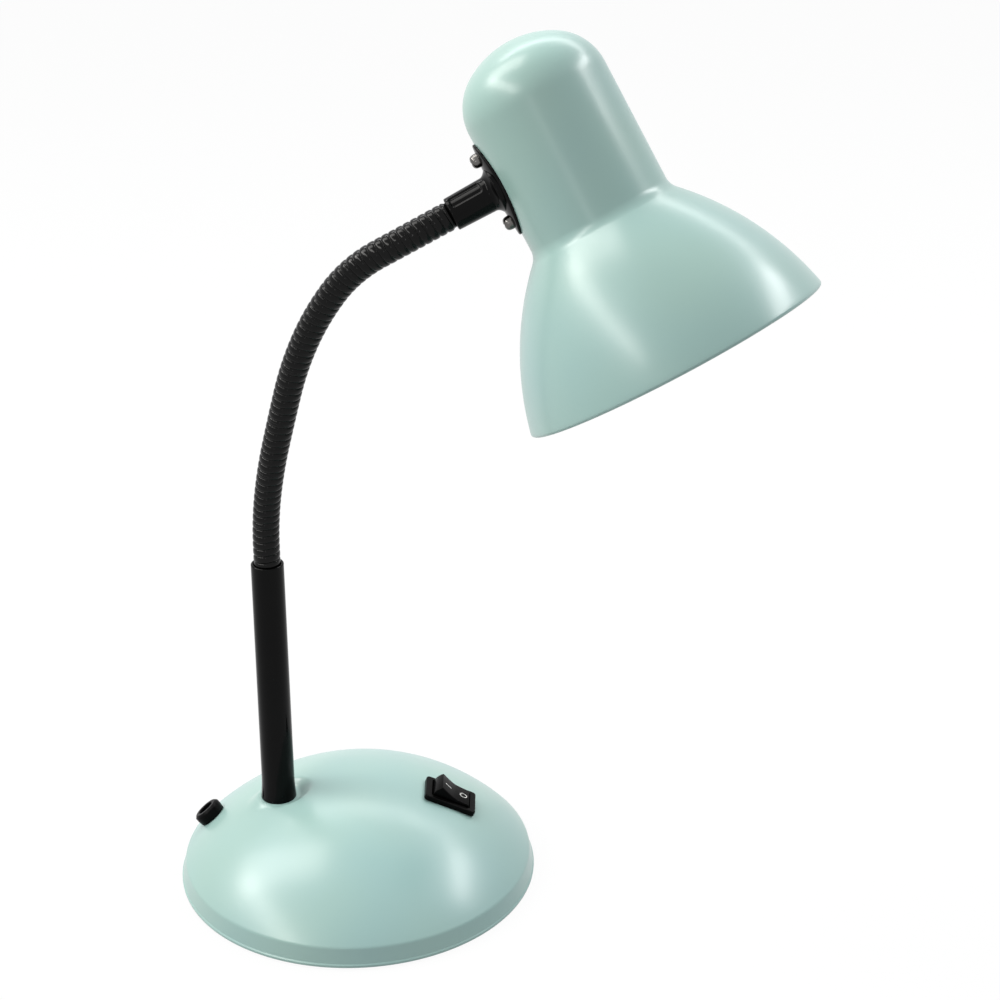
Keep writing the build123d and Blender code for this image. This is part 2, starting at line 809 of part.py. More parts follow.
# Shade
with BuildPart() as shade:
    with BuildSketch(shade_profile):
        with BuildLine():
            outer_top, outer_mouth = shade_curve(0)
            inner_top, inner_mouth = shade_curve(shade_wall)
            Line(outer_top, inner_top)
            Line(outer_mouth, inner_mouth)
        make_face()
        with Locations(on_arc(bell_centre, bell_radius - lip_radius, outer_mouth)):
            Circle(lip_radius)
    revolve(axis=shade_axis)
    with BuildSketch(across_collar(0)):
        Circle(lead_radius + lead_hole_play)
        with GridLocations(0, 2 * collar_screw_spread, 1, 2):
            Circle(collar_screw_radius + screw_play)
    extrude(amount=housing_radius + overrun, mode=Mode.SUBTRACT)
keep(shade, "shade")

# Bracket: a strip along the wall with a tab over the holder
with BuildPart() as head_bracket:
    with BuildSketch(across_shade(-bracket_high)):
        Circle(inner_radius)
        Circle(inner_radius - bracket_thickness, mode=Mode.SUBTRACT)
        Rectangle(bracket_width, inner_radius, align=(Align.CENTER, Align.MAX), mode=Mode.INTERSECT)
    extrude(amount=bracket_high + bracket_low)
    with BuildSketch(across_shade(-bracket_high)):
        Rectangle(bracket_width, 2 * inner_radius)
        with Locations((0, bracket_tab_reach)):
            Rectangle(
                bracket_width,
                2 * inner_radius,
                align=(Align.CENTER, Align.MIN),
                mode=Mode.SUBTRACT,
            )
        Circle(inner_radius, mode=Mode.INTERSECT)
        with GridLocations(2 * holder_screw_spread, 0, 2, 1):
            Circle(holder_screw_radius + screw_play, mode=Mode.SUBTRACT)
    extrude(amount=bracket_thickness)
    with BuildSketch(across_collar(0)):
        Circle(lead_radius + lead_hole_play)
        with GridLocations(0, 2 * collar_screw_spread, 1, 2):
            Circle(collar_screw_radius)
    extrude(amount=housing_radius, mode=Mode.SUBTRACT)
keep(head_bracket, "head_bracket")

# Holder body, hung from the tab
holder_back = bracket_thickness - bracket_high
holder_radius = inner_radius - bracket_thickness - core_channel_width
core_channel = holder_radius + core_channel_width / 2
thread_radius = holder_radius - holder_wall
core_depth = holder_back + core_entry
core_stop = holder_radius - core_grip
with BuildPart() as lampholder:
    with BuildSketch(across_shade(holder_back)):
        Circle(holder_radius)
    extrude(amount=holder_mouth - holder_back)
    with BuildSketch(across_shade(holder_floor)):
        Circle(thread_radius)
    extrude(amount=holder_mouth - holder_floor, mode=Mode.SUBTRACT)
    with BuildSketch(across_shade(holder_back)):
        with GridLocations(2 * holder_screw_spread, 0, 2, 1):
            Circle(holder_screw_radius)
    extrude(amount=holder_screw_grip, mode=Mode.SUBTRACT)
    with BuildSketch(across_collar(core_stop)):
        with Locations((-core_spread, core_depth), (core_spread, core_depth)):
            Circle(core_radius + core_play)
    extrude(amount=holder_radius, mode=Mode.SUBTRACT)
keep(lampholder, "lampholder")

# Cores from the upper end of the lead into the side of the holder
for core, side in enumerate((-core_spread, core_spread)):
    with BuildPart() as head_core:
        entry = head_centre + side_dir * side
        with BuildLine() as head_route:
            FilletPolyline(
                entry - reach_dir * inner_radius,
                entry - reach_dir * core_channel,
                entry - reach_dir * core_channel + axis_dir * core_depth,
                entry - reach_dir * core_stop + axis_dir * core_depth,
                radius=core_bend,
            )
        with BuildSketch(Plane(origin=head_route.line @ 0, z_dir=head_route.line % 0)):
            Circle(core_radius)
        sweep(path=head_route.line)
    keep(head_core, f"head_core_{core + 1}")

with BuildPart() as holder_screws:
    with BuildSketch(across_shade(-bracket_high)):
        with GridLocations(2 * holder_screw_spread, 0, 2, 1):
            Circle(holder_screw_head_radius)
    extrude(amount=-holder_screw_head_height)
    with BuildSketch(across_shade(-bracket_high)):
        with GridLocations(2 * holder_screw_spread, 0, 2, 1):
            Circle(holder_screw_radius)
    extrude(amount=bracket_thickness + holder_screw_grip)
keep(holder_screws, "holder_screws")

# Brass shell and centre contact inside the holder
with BuildPart() as holder_thread:
    with BuildSketch(across_shade(holder_floor + thread_lift)):
        Circle(thread_radius)
        Circle(thread_radius - thread_wall, mode=Mode.SUBTRACT)
    extrude(amount=thread_length)
keep(holder_thread, "holder_thread")

with BuildPart() as holder_contact:
    with BuildSketch(across_shade(holder_floor)):
        Circle(contact_radius)
    extrude(amount=contact_height)
keep(holder_contact, "holder_contact")

# Globe lamp: tip, threaded cap and glass
cap_radius = thread_radius - thread_wall - cap_play
insulator_radius = cap_radius - insulator_inset
globe_neck_radius = cap_radius - globe_neck_inset
tip_level = holder_floor + contact_height
cap_start = tip_level + tip_height
cap_stop = cap_start + cap_threads * cap_pitch + cap_skirt
with BuildPart() as bulb_contact:
    with BuildSketch(shade_profile):
        with BuildLine():
            Polyline(
                (0, tip_level),
                (tip_radius, tip_level),
                (insulator_radius, cap_start),
                (0, cap_start),
                close=True,
            )
        make_face()
    revolve(axis=shade_axis)
keep(bulb_contact, "bulb_contact")

with BuildPart() as bulb_cap:
    cap_root = cap_radius - cap_groove
    outside = [(insulator_radius, cap_start), (cap_root, cap_start)]
    for turn in range(cap_threads):
        outside.append((cap_radius, cap_start + (turn + 1 / 2) * cap_pitch))
        outside.append((cap_root, cap_start + (turn + 1) * cap_pitch))
    outside.append((cap_radius, cap_stop))
    inside = cap_root - cap_wall
    with BuildSketch(shade_profile):
        with BuildLine():
            Polyline(
                *outside,
                (inside, cap_stop),
                (inside, cap_start + cap_wall),
                (insulator_radius, cap_start + cap_wall),
                close=True,
            )
        make_face()
    revolve(axis=shade_axis)
keep(bulb_cap, "bulb_cap")

with BuildPart() as bulb_globe:
    globe_centre = (0, cap_stop + globe_drop)
    neck_rise = sqrt(globe_radius**2 - globe_neck_radius**2)
    inner_rise = sqrt((globe_radius - globe_wall) ** 2 - (globe_neck_radius - globe_wall) ** 2)
    with BuildSketch(shade_profile):
        with BuildLine():
            Polyline((globe_neck_radius, globe_centre[1] - neck_rise), (globe_neck_radius, cap_stop))
            Line((globe_neck_radius, cap_stop), (globe_neck_radius - globe_wall, cap_stop))
            Line(
                (globe_neck_radius - globe_wall, cap_stop),
                (globe_neck_radius - globe_wall, globe_centre[1] - inner_rise),
            )
            ThreePointArc(
                (globe_neck_radius - globe_wall, globe_centre[1] - inner_rise),
                (globe_radius - globe_wall, globe_centre[1]),
                (0, globe_centre[1] + globe_radius - globe_wall),
            )
            Line(
                (0, globe_centre[1] + globe_radius - globe_wall),
                (0, globe_centre[1] + globe_radius),
            )
            ThreePointArc(
                (0, globe_centre[1] + globe_radius),
                (globe_radius, globe_centre[1]),
                (globe_neck_radius, globe_centre[1] - neck_rise),
            )
        make_face()
    revolve(axis=shade_axis)
keep(bulb_globe, "bulb_globe")
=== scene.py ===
import logging
import math
from dataclasses import dataclass, field
from enum import Enum
from typing import Any

import bpy
import numpy as np
from numpy.typing import NDArray
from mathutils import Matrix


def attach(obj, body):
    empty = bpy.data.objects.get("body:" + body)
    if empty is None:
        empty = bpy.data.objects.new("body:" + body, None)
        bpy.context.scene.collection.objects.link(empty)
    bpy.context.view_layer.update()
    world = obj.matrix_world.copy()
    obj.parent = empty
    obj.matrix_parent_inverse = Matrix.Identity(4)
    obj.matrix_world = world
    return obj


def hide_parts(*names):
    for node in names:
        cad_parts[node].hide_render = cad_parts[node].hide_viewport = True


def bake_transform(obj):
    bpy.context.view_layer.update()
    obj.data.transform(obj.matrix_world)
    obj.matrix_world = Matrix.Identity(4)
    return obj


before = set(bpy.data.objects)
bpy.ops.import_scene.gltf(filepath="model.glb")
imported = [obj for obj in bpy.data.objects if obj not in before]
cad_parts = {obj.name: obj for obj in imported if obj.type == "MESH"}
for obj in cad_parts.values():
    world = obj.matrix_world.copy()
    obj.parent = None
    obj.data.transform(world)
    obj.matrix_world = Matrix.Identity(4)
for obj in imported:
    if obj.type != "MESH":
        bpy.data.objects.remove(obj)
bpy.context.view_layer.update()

Array = NDArray[np.float64]
Indices = NDArray[np.int64]
Pair = tuple[float, float]
Triple = tuple[float, float, float]
Colour = tuple[float, float, float, float]
Tree = bpy.types.NodeTree
Node = bpy.types.Node
Socket = bpy.types.NodeSocket
Piece = bpy.types.Object
Material = bpy.types.Material
MM = 0.001
SEAT_GAP = 0.02 * MM
NOISE_RANGE = (0.3, 0.7)
WHITE = (1.0, 1.0, 1.0, 1.0)
BLACK = (0.0015, 0.0015, 0.0016, 1.0)
LOG = logging.getLogger("desk_lamp")
UP = np.array([0.0, 0.0, 1.0])
RIGHT = np.array([1.0, 0.0, 0.0])


def screen_colour(red: int, green: int, blue: int) -> Colour:
    """Turn a screen colour of 0 to 255 into the linear colour that shaders use.

    Args:
        red: red share of the screen colour.
        green: green share of the screen colour.
        blue: blue share of the screen colour.

    Returns:
        Linear red, green, blue and an alpha of 1.
    """
    share = np.array([red, green, blue]) / 255.0
    linear = np.where(share <= 0.04045, share / 12.92, ((share + 0.055) / 1.055) ** 2.4)
    return (float(linear[0]), float(linear[1]), float(linear[2]), 1.0)


def unit(vector: Array) -> Array:
    """Return vectors scaled to length 1 along their last axis."""
    return vector / np.linalg.norm(vector, axis=-1, keepdims=True)


def smooth_step(share: Array) -> Array:
    """Return 3t^2 - 2t^3 for shares held between 0 and 1."""
    held = np.clip(share, 0.0, 1.0)
    return held * held * (3.0 - 2.0 * held)


def round_angles(count: int) -> Array:
    """Return angles spread evenly over one turn."""
    return np.arange(count) * (2.0 * np.pi / count)


def rectangle(left: float, right: float, low: float, high: float) -> Array:
    """Return the corners of a rectangle, anticlockwise from its lower left."""
    return np.array([[left, low], [right, low], [right, high], [left, high]])


@dataclass(frozen=True)
class Placing:
    """Where a piece stands: an origin and three square directions, in metres."""

    origin: Array
    x: Array
    z: Array

    @property
    def y(self) -> Array:
        """Second direction, square to the other two."""
        return np.cross(self.z, self.x)

    def at(self, along_x: Any, along_y: Any, along_z: Any) -> Array:
        """Turn own coordinates into points of the part.

        Args:
            along_x: distances along the first direction.
            along_y: distances along the second direction.
            along_z: distances along the third direction.

        Returns:
            Points with a last axis of 3.
        """
        along = np.broadcast_arrays(along_x, along_y, along_z)
        parts = [np.asarray(part, float)[..., None] for part in along]
        return self.origin + parts[0] * self.x + parts[1] * self.y + parts[2] * self.z

    def lifted(self, height: float) -> "Placing":
        """Return the same directions with the origin moved along z."""
        return Placing(self.origin + self.z * height, self.x, self.z)


UPRIGHT = Placing(np.zeros(3), RIGHT, UP)


def arc(centre: Pair, radius: float, start: float, stop: float, steps: int) -> Array:
    """Points of a circular arc in a profile: centre + radius (cos a, sin a).

    Args:
        centre: middle of the circle.
        radius: radius of the circle.
        start: first angle in radians.
        stop: last angle in radians.
        steps: number of points.

    Returns:
        Array of points, steps by 2.
    """
    angle = np.linspace(start, stop, steps)
    return np.stack([centre[0] + radius * np.cos(angle), centre[1] + radius * np.sin(angle)], axis=1)


def rounded(corners: Any, radii: Any, steps: int = 6, closed: bool = True) -> Array:
    """Round the corners of a polygon with exact arcs.

    Each arc is the conic from the tangent point before a corner to the one behind it,
    with the corner as its middle control point and sin(half the corner's angle) as weight.

    Args:
        corners: polygon corners, n by 2.
        radii: radius at each corner, where 0 keeps it sharp.
        steps: points on each arc.
        closed: whether the last corner joins the first.

    Returns:
        Points of the rounded outline.
    """
    points = np.asarray(corners, float)
    radius = np.broadcast_to(np.asarray(radii, float), (len(points),)).copy()
    if not closed:
        radius[[0, -1]] = 0.0
    before = unit(np.roll(points, 1, axis=0) - points)
    behind = unit(np.roll(points, -1, axis=0) - points)
    half = np.arccos(np.clip((before * behind).sum(axis=1), -1.0, 1.0)) / 2.0
    reach = np.where(radius > 0, radius / np.maximum(np.tan(half), 1e-6), 0.0)
    first = points + before * reach[:, None]
    last = points + behind * reach[:, None]
    u = np.linspace(0.0, 1.0, steps)[None, :, None]
    weight = np.sin(half)[:, None, None]
    top = (1 - u) ** 2 * first[:, None] + 2 * weight * u * (1 - u) * points[:, None] + u**2 * last[:, None]
    line = (top / ((1 - u) ** 2 + 2 * weight * u * (1 - u) + u**2)).reshape(-1, 2)
    fresh = np.linalg.norm(np.diff(line, axis=0, prepend=line[-1:] + 1.0), axis=1) > 1e-8
    return line[fresh]


def grid_faces(rows: int, columns: int, close_rows: bool) -> Indices:
    """Quads over a grid of points whose columns close into a ring.

    Args:
        rows: number of rows.
        columns: number of points round each row.
        close_rows: whether the last row joins the first.

    Returns:
        Indices of the quads, n by 4.
    """
    row = np.arange(rows if close_rows else rows - 1)[:, None]
    column = np.arange(columns)[None, :]
    next_row = (row + 1) % rows
    next_column = (column + 1) % columns
    corners = (row * columns + column, row * columns + next_column)
    corners += (next_row * columns + next_column, next_row * columns + column)
    return np.stack(np.broadcast_arrays(*corners), axis=-1).reshape(-1, 4)


def fan_faces(pole: int, ring: Indices) -> Indices:
    """Triangles from one pole point to a ring of points."""
    return np.stack([np.full(len(ring), pole), ring, np.roll(ring, -1)], axis=1)


def signed_volume(points: Array, faces: Indices) -> float:
    """Volume inside faces by the divergence theorem, below zero where they point inwards."""
    first = points[faces[:, 0]]
    middle = points[faces[:, 1:-1]]
    last = points[faces[:, 2:]]
    return float((np.cross(middle, last) * first[:, None]).sum() / 6.0)


class Shape:
    """Points and faces of a closed surface, gathered before they become a piece."""

    def __init__(self) -> None:
        """Start with no points."""
        self.points: list[Array] = []
        self.faces: list[Indices] = []
        self.count = 0

    def add(self, points: Array, faces: list[Indices]) -> "Shape":
        """Add one closed surface, turned so that its faces point outwards.

        Args:
            points: points of the surface, n by 3.
            faces: arrays of faces with 3 or more corners each.

        Returns:
            This shape.
        """
        volume = sum(signed_volume(points, group) for group in faces)
        for group in faces:
            self.faces.append((group if volume > 0 else group[:, ::-1]) + self.count)
        self.points.append(points)
        self.count += len(points)
        return self

    def piece(self, name: str, smooth_angle: float = 180.0) -> Piece:
        """Make the piece's object.

        Args:
            name: name of the piece.
            smooth_angle: edges that turn by more than this stay sharp, in degrees.

        Returns:
            The object, at the origin.
        """
        mesh = bpy.data.meshes.new(name)
        faces = [corner for group in self.faces for corner in group.tolist()]
        mesh.from_pydata(np.concatenate(self.points).tolist(), [], faces)
        mesh.polygons.foreach_set("use_smooth", np.ones(len(mesh.polygons), dtype=bool))
        if smooth_angle < 180.0:
            mesh.set_sharp_from_angle(angle=math.radians(smooth_angle))
        mesh.update()
        made = bpy.data.objects.new(name, mesh)
        bpy.context.scene.collection.objects.link(made)
        LOG.info("%s: %d points", name, len(mesh.vertices))
        return made


def revolved(profile: Array, placing: Placing, segments: int) -> tuple[Array, list[Indices]]:
    """Surface of revolution: origin + r cos a x + r sin a y + h z for each profile pair (r, h).

    A profile that starts or ends on the axis gets a pole there, and one that does neither is
    closed from its last point to its first.

    Args:
        profile: pairs of radius and height, n by 2.
        placing: axis and directions of the surface.
        segments: number of points round the axis.

    Returns:
        Points and arrays of faces.
    """
    angle = round_angles(segments)
    on_axis = profile[:, 0] < 1e-9
    rings = profile[~on_axis]
    radius, height = rings[:, :1], rings[:, 1:]
    points = placing.at(radius * np.cos(angle), radius * np.sin(angle), height).reshape(-1, 3)
    faces = [grid_faces(len(rings), segments, not on_axis.any())]
    ring = np.arange(segments)
    for end, shift in ((0, 0), (-1, (len(rings) - 1) * segments)):
        if on_axis[end]:
            faces.append(fan_faces(len(points), (ring + shift)[:: -1 if end == 0 else 1]))
            points = np.concatenate([points, placing.at(0.0, 0.0, profile[end, 1])[None]])
    return points, faces


def extruded(
    outline: Array, half_width: float, edge: float, placing: Placing, rim_steps: int = 5
) -> tuple[Array, list[Indices]]:
    """Block with a flat outline in its x and z directions, its two ends rounded off.

    Row k is the outline moved inwards along its corner normals by edge (1 - sin t) at the
    width half_width - edge (1 - cos t), so both rims are quarter rounds.

    Args:
        outline: closed outline, n by 2.
        half_width: half of the width along y.
        edge: radius of the rims.
        placing: directions of the block.
        rim_steps: rows on each rim.

    Returns:
        Points and arrays of faces.
    """
    before = unit(outline - np.roll(outline, 1, axis=0))
    behind = unit(np.roll(outline, -1, axis=0) - outline)
    line = unit(before + behind)
    turn = np.cross(outline, np.roll(outline, -1, axis=0)).sum()
    inward = np.stack([-line[:, 1], line[:, 0]], axis=1) * np.sign(turn)
    t = np.linspace(0.0, np.pi / 2.0, rim_steps)
    inset = edge * (1.0 - np.sin(t))
    across = half_width - edge * (1.0 - np.cos(t))[::-1]
    inset = np.concatenate([inset, inset[::-1]])
    across = np.concatenate([-across[::-1], across])
    rows = outline[None] + inset[:, None, None] * inward[None]
    points = placing.at(rows[..., 0], across[:, None], rows[..., 1]).reshape(-1, 3)
    count = len(outline)
    sides = grid_faces(len(inset), count, False)
    caps = np.stack([np.arange(count)[::-1], np.arange(count) + (len(inset) - 1) * count])
    return points, [sides, caps]


class NodeBoard:
    """Short ways to place and join nodes in one tree."""

    def __init__(self, tree: Tree) -> None:
        """Keep the tree that the nodes go into."""
        self.tree = tree

    def add(self, kind: str, settings: dict[str, Any] | None = None, **sockets: Any) -> Node:
        """Place a node.

        Args:
            kind: type name of the node.
            settings: properties of the node itself.
            sockets: input values or output sockets to link, by input name with _ for a space.

        Returns:
            The new node.
        """
        node = self.tree.nodes.new(kind)
        for name, value in (settings or {}).items():
            setattr(node, name, value)
        self.feed_all(node, **sockets)
        return node

    def feed(self, node: Node, name: Any, value: Any) -> None:
        """Link an output socket to a named input, or set the input's value."""
        if isinstance(value, Socket):
            self.tree.links.new(value, node.inputs[name])
        else:
            node.inputs[name].default_value = value

    def feed_all(self, node: Node, **sockets: Any) -> None:
        """Feed several inputs by name, with _ for a space."""
        for name, value in sockets.items():
            self.feed(node, name.replace("_", " "), value)

    def math(self, operation: str, first: Any, second: Any = 0.0, hold: bool = False) -> Socket:
        """Place a Math node and return its result."""
        node = self.add("ShaderNodeMath", {"operation": operation, "use_clamp": hold})
        self.feed(node, 0, first)
        self.feed(node, 1, second)
        return node.outputs[0]

    def mix(self, share: Any, first: Any, second: Any) -> Socket:
        """Mix two colours by a share and return the result."""
        node = self.add("ShaderNodeMix", {"data_type": "RGBA"})
        self.feed(node, 0, share)
        self.feed(node, 6, first)
        self.feed(node, 7, second)
        return node.outputs[2]

    def span(self, value: Any, low: float, high: float, to_low: Any, to_high: Any) -> Socket:
        """Map a value from one range to another, held at the ends, and return the result."""
        node = self.add("ShaderNodeMapRange")
        for index, fed in enumerate((value, low, high, to_low, to_high)):
            self.feed(node, index, fed)
        return node.outputs[0]

    def noise(self, vector: Any, scale: Any, detail: float = 3.0, rough: float = 0.5) -> Socket:
        """Place a noise texture and return its value."""
        node = self.add("ShaderNodeTexNoise", Vector=vector, Scale=scale, Detail=detail, Roughness=rough)
        return node.outputs[0]

    def drift(self, noise: Socket, ends: Pair) -> Socket:
        """Map the usual range of a noise to two end values and return the result."""
        return self.span(noise, *NOISE_RANGE, *ends)

    def bump(self, height: Socket, depth: float, strength: float) -> Socket:
        """Return the normal of a relief with a depth in metres and a share that shows."""
        node = self.add("ShaderNodeBump", Strength=strength, Distance=depth, Height=height)
        return node.outputs["Normal"]

    def results(self, **sockets: Socket) -> None:
        """Feed a group's outputs by name."""
        self.feed_all(self.tree.nodes["Group Output"], **sockets)


class Effect(Enum):
    """Effects that several finishes share, each one a node group."""

    FILM = "film_of_paint"
    GRAIN = "moulded_grain"
    DUST = "settled_dust"
    STREAKS = "drawn_streaks"


class Effects:
    """Builds each shared effect once and places it in materials."""

    def __init__(self) -> None:
        """Start with no groups, and know which sockets aren't plain numbers."""
        self.made: dict[Effect, Tree] = {}
        self.kinds = dict.fromkeys(("Colour", "Drift", "Speck", "Dust", "Stain"), "Color")
        self.kinds["Vector"] = "Vector"

    def group(self, effect: Effect, inputs: str, outputs: str) -> tuple[NodeBoard, Any]:
        """Open a new group with named sockets.

        Args:
            effect: the effect that the group gives.
            inputs: names of its inputs.
            outputs: names of its outputs.

        Returns:
            Board on the group's tree, and the sockets that bring its inputs.
        """
        tree = bpy.data.node_groups.new(effect.value, "ShaderNodeTree")
        for way, names in (("INPUT", inputs), ("OUTPUT", outputs)):
            for name in names.split():
                kind = "NodeSocket" + self.kinds.get(name, "Float")
                tree.interface.new_socket(name, in_out=way, socket_type=kind)
        given = tree.nodes.new("NodeGroupInput").outputs
        tree.nodes.new("NodeGroupOutput")
        self.made[effect] = tree
        return NodeBoard(tree), given

    def build(self) -> None:
        """Build every shared effect."""
        self.film()
        self.grain()
        self.dust()
        self.streaks()

    def film(self) -> None:
        """Sprayed enamel: slow colour drift, sparse pale specks, gloss drift and orange peel."""
        board, given = self.group(Effect.FILM, "Vector Colour Drift Speck Peel", "Colour Gloss Height")
        where = given["Vector"]
        slow = board.span(board.noise(where, 14.0, 2.0), 0.35, 0.65, 0.0, 1.0)
        tinted = board.mix(slow, given["Colour"], given["Drift"])
        cells = board.add("ShaderNodeTexVoronoi", Vector=where, Scale=210.0).outputs
        rare = board.math("GREATER_THAN", cells["Color"], 0.93)
        near = board.math("LESS_THAN", cells["Distance"], 0.13)
        speck = board.math("MULTIPLY", board.math("MULTIPLY", rare, near), 0.55)
        fine = board.math("MULTIPLY", board.noise(where, 2600.0, 1.0), 0.1)
        board.results(
            Colour=board.mix(speck, tinted, given["Speck"]),
            Gloss=board.noise(where, 60.0, 4.0),
            Height=board.math("ADD", board.noise(where, given["Peel"], 2.0), fine),
        )

    def grain(self) -> None:
        """Fine moulded or cast grain: small pits over a slower swell."""
        board, given = self.group(Effect.GRAIN, "Vector Scale Swell", "Value Height")
        pits = board.noise(given["Vector"], given["Scale"], 3.0, 0.6)
        swell = board.noise(given["Vector"], given["Swell"], 2.0)
        board.results(Value=swell, Height=board.math("ADD", pits, board.math("MULTIPLY", swell, 0.3)))

    def dust(self) -> None:
        """Thin dust that lies in patches and gathers where a mask asks for it."""
        board, given = self.group(Effect.DUST, "Vector Colour Dust Amount Mask", "Colour Share")
        patches = board.span(board.noise(given["Vector"], 90.0, 6.0, 0.65), 0.42, 0.72, 0.0, 1.0)
        gathered = board.math("ADD", patches, given["Mask"], hold=True)
        share = board.math("MULTIPLY", gathered, given["Amount"], hold=True)
        board.results(Colour=board.mix(share, given["Colour"], given["Dust"]), Share=share)

    def streaks(self) -> None:
        """Drawn or turned metal: noise stretched along one direction by the mapped vector."""
        board, given = self.group(Effect.STREAKS, "Vector Scale Colour Stain", "Colour Value Height")
        long_way = board.add("ShaderNodeVectorMath", {"operation": "MULTIPLY"})
        board.feed(long_way, 0, given["Vector"])
        board.feed(long_way, 1, (1.0, 1.0, 0.06))
        lines = board.noise(long_way.outputs[0], given["Scale"], 4.0, 0.7)
        stain = board.span(board.noise(given["Vector"], 120.0, 5.0), 0.5, 0.75, 0.0, 0.6)
        board.results(Colour=board.mix(stain, given["Colour"], given["Stain"]), Value=lines, Height=lines)

    def place(self, board: NodeBoard, effect: Effect, **sockets: Any) -> Node:
        """Place an effect's group in a material, fed by input name, and return its node."""
        return board.add("ShaderNodeGroup", {"node_tree": self.made[effect]}, **sockets)


EFFECTS = Effects()


def new_material(name: str) -> tuple[Material, NodeBoard, Node, Socket]:
    """Start a material.

    Args:
        name: name of the finish.

    Returns:
        The material, a board on its tree, its shader and the Object coordinates.
    """
    material = bpy.data.materials.new(name)
    material.use_nodes = True
    board = NodeBoard(material.node_tree)
    where = board.add("ShaderNodeTexCoord").outputs["Object"]
    return material, board, material.node_tree.nodes["Principled BSDF"], where


@dataclass(frozen=True)
class PaintFinish:
    """Sprayed satin enamel."""

    name: str
    colour: Colour
    drift: Colour
    speck: Colour
    roughness: Pair = (0.30, 0.37)
    coat: float = 0.3
    coat_roughness: float = 0.22
    peel: float = 420.0
    depth: float = 0.06 * MM
    strength: float = 0.25

    def material(self) -> Material:
        """Return the finish as a material."""
        made, board, shader, where = new_material(self.name)
        film = EFFECTS.place(board, Effect.FILM, Vector=where, Colour=self.colour, Drift=self.drift,
                             Speck=self.speck, Peel=self.peel).outputs
        rough = board.drift(film["Gloss"], self.roughness)
        peel = board.bump(film["Height"], self.depth, self.strength)
        board.feed_all(shader, Base_Color=film["Colour"], Roughness=rough, Coat_Weight=self.coat,
                       Coat_Roughness=self.coat_roughness, Normal=peel)
        return made


@dataclass(frozen=True)
class MouldedFinish:
    """Moulded plastic, rubber, foam or cast metal with a grain and thin dust."""

    name: str
    colour: Colour
    roughness: Pair = (0.34, 0.48)
    grain: float = 1800.0
    depth: float = 0.05 * MM
    strength: float = 0.3
    dust: float = 0.05
    metallic: float = 0.0
    index: float = 1.45
    mask: str = ""
    swell: float = 140.0
    dust_colour: Colour = screen_colour(150, 146, 140)

    def material(self) -> Material:
        """Return the finish as a material."""
        made, board, shader, where = new_material(self.name)
        gathered: Any = 0.0
        if self.mask:
            reader = board.add("ShaderNodeAttribute", {"attribute_name": self.mask})
            gathered = reader.outputs["Fac"]
        grain = EFFECTS.place(board, Effect.GRAIN, Vector=where, Scale=self.grain, Swell=self.swell).outputs
        dust = EFFECTS.place(board, Effect.DUST, Vector=where, Colour=self.colour, Dust=self.dust_colour,
                             Amount=self.dust, Mask=gathered).outputs
        rough = board.math("ADD", board.drift(grain["Value"], self.roughness), dust["Share"], hold=True)
        relief = board.bump(grain["Height"], self.depth, self.strength)
        board.feed_all(shader, Base_Color=dust["Colour"], Roughness=rough, Metallic=self.metallic,
                       IOR=self.index, Normal=relief)
        return made


@dataclass(frozen=True)
class MetalFinish:
    """Bare or plated metal with drawn streaks and faint stains."""

    name: str
    colour: Colour
    stain: Colour
    roughness: Pair = (0.22, 0.36)
    scale: float = 900.0
    depth: float = 0.03 * MM
    strength: float = 0.3

    def material(self) -> Material:
        """Return the finish as a material."""
        made, board, shader, where = new_material(self.name)
        drawn = EFFECTS.place(board, Effect.STREAKS, Vector=where, Scale=self.scale, Colour=self.colour,
                              Stain=self.stain).outputs
        rough = board.drift(drawn["Value"], self.roughness)
        relief = board.bump(drawn["Height"], self.depth, self.strength)
        board.feed_all(shader, Base_Color=drawn["Colour"], Roughness=rough, Metallic=1.0, Normal=relief)
        return made


@dataclass(frozen=True)
class OpalFinish:
    """Opal glass of a lamp that is switched off."""

    name: str
    colour: Colour
    dust_colour: Colour
    dust: float = 0.06
    grain: float = 700.0
    swell: float = 60.0
    roughness: Pair = (0.12, 0.2)
    scatter: float = 0.3
    scatter_reach: Triple = (4.0 * MM, 4.0 * MM, 4.0 * MM)
    depth: float = 0.02 * MM
    strength: float = 0.15

    def material(self) -> Material:
        """Return the finish as a material."""
        made, board, shader, where = new_material(self.name)
        grain = EFFECTS.place(board, Effect.GRAIN, Vector=where, Scale=self.grain, Swell=self.swell).outputs
        dust = EFFECTS.place(board, Effect.DUST, Vector=where, Colour=self.colour, Dust=self.dust_colour,
                             Amount=self.dust, Mask=0.0).outputs
        rough = board.drift(grain["Value"], self.roughness)
        relief = board.bump(grain["Height"], self.depth, self.strength)
        board.feed_all(shader, Base_Color=dust["Colour"], Roughness=rough, Subsurface_Weight=self.scatter,
                       Subsurface_Radius=self.scatter_reach, Subsurface_Scale=1.0, Normal=relief)
        return made


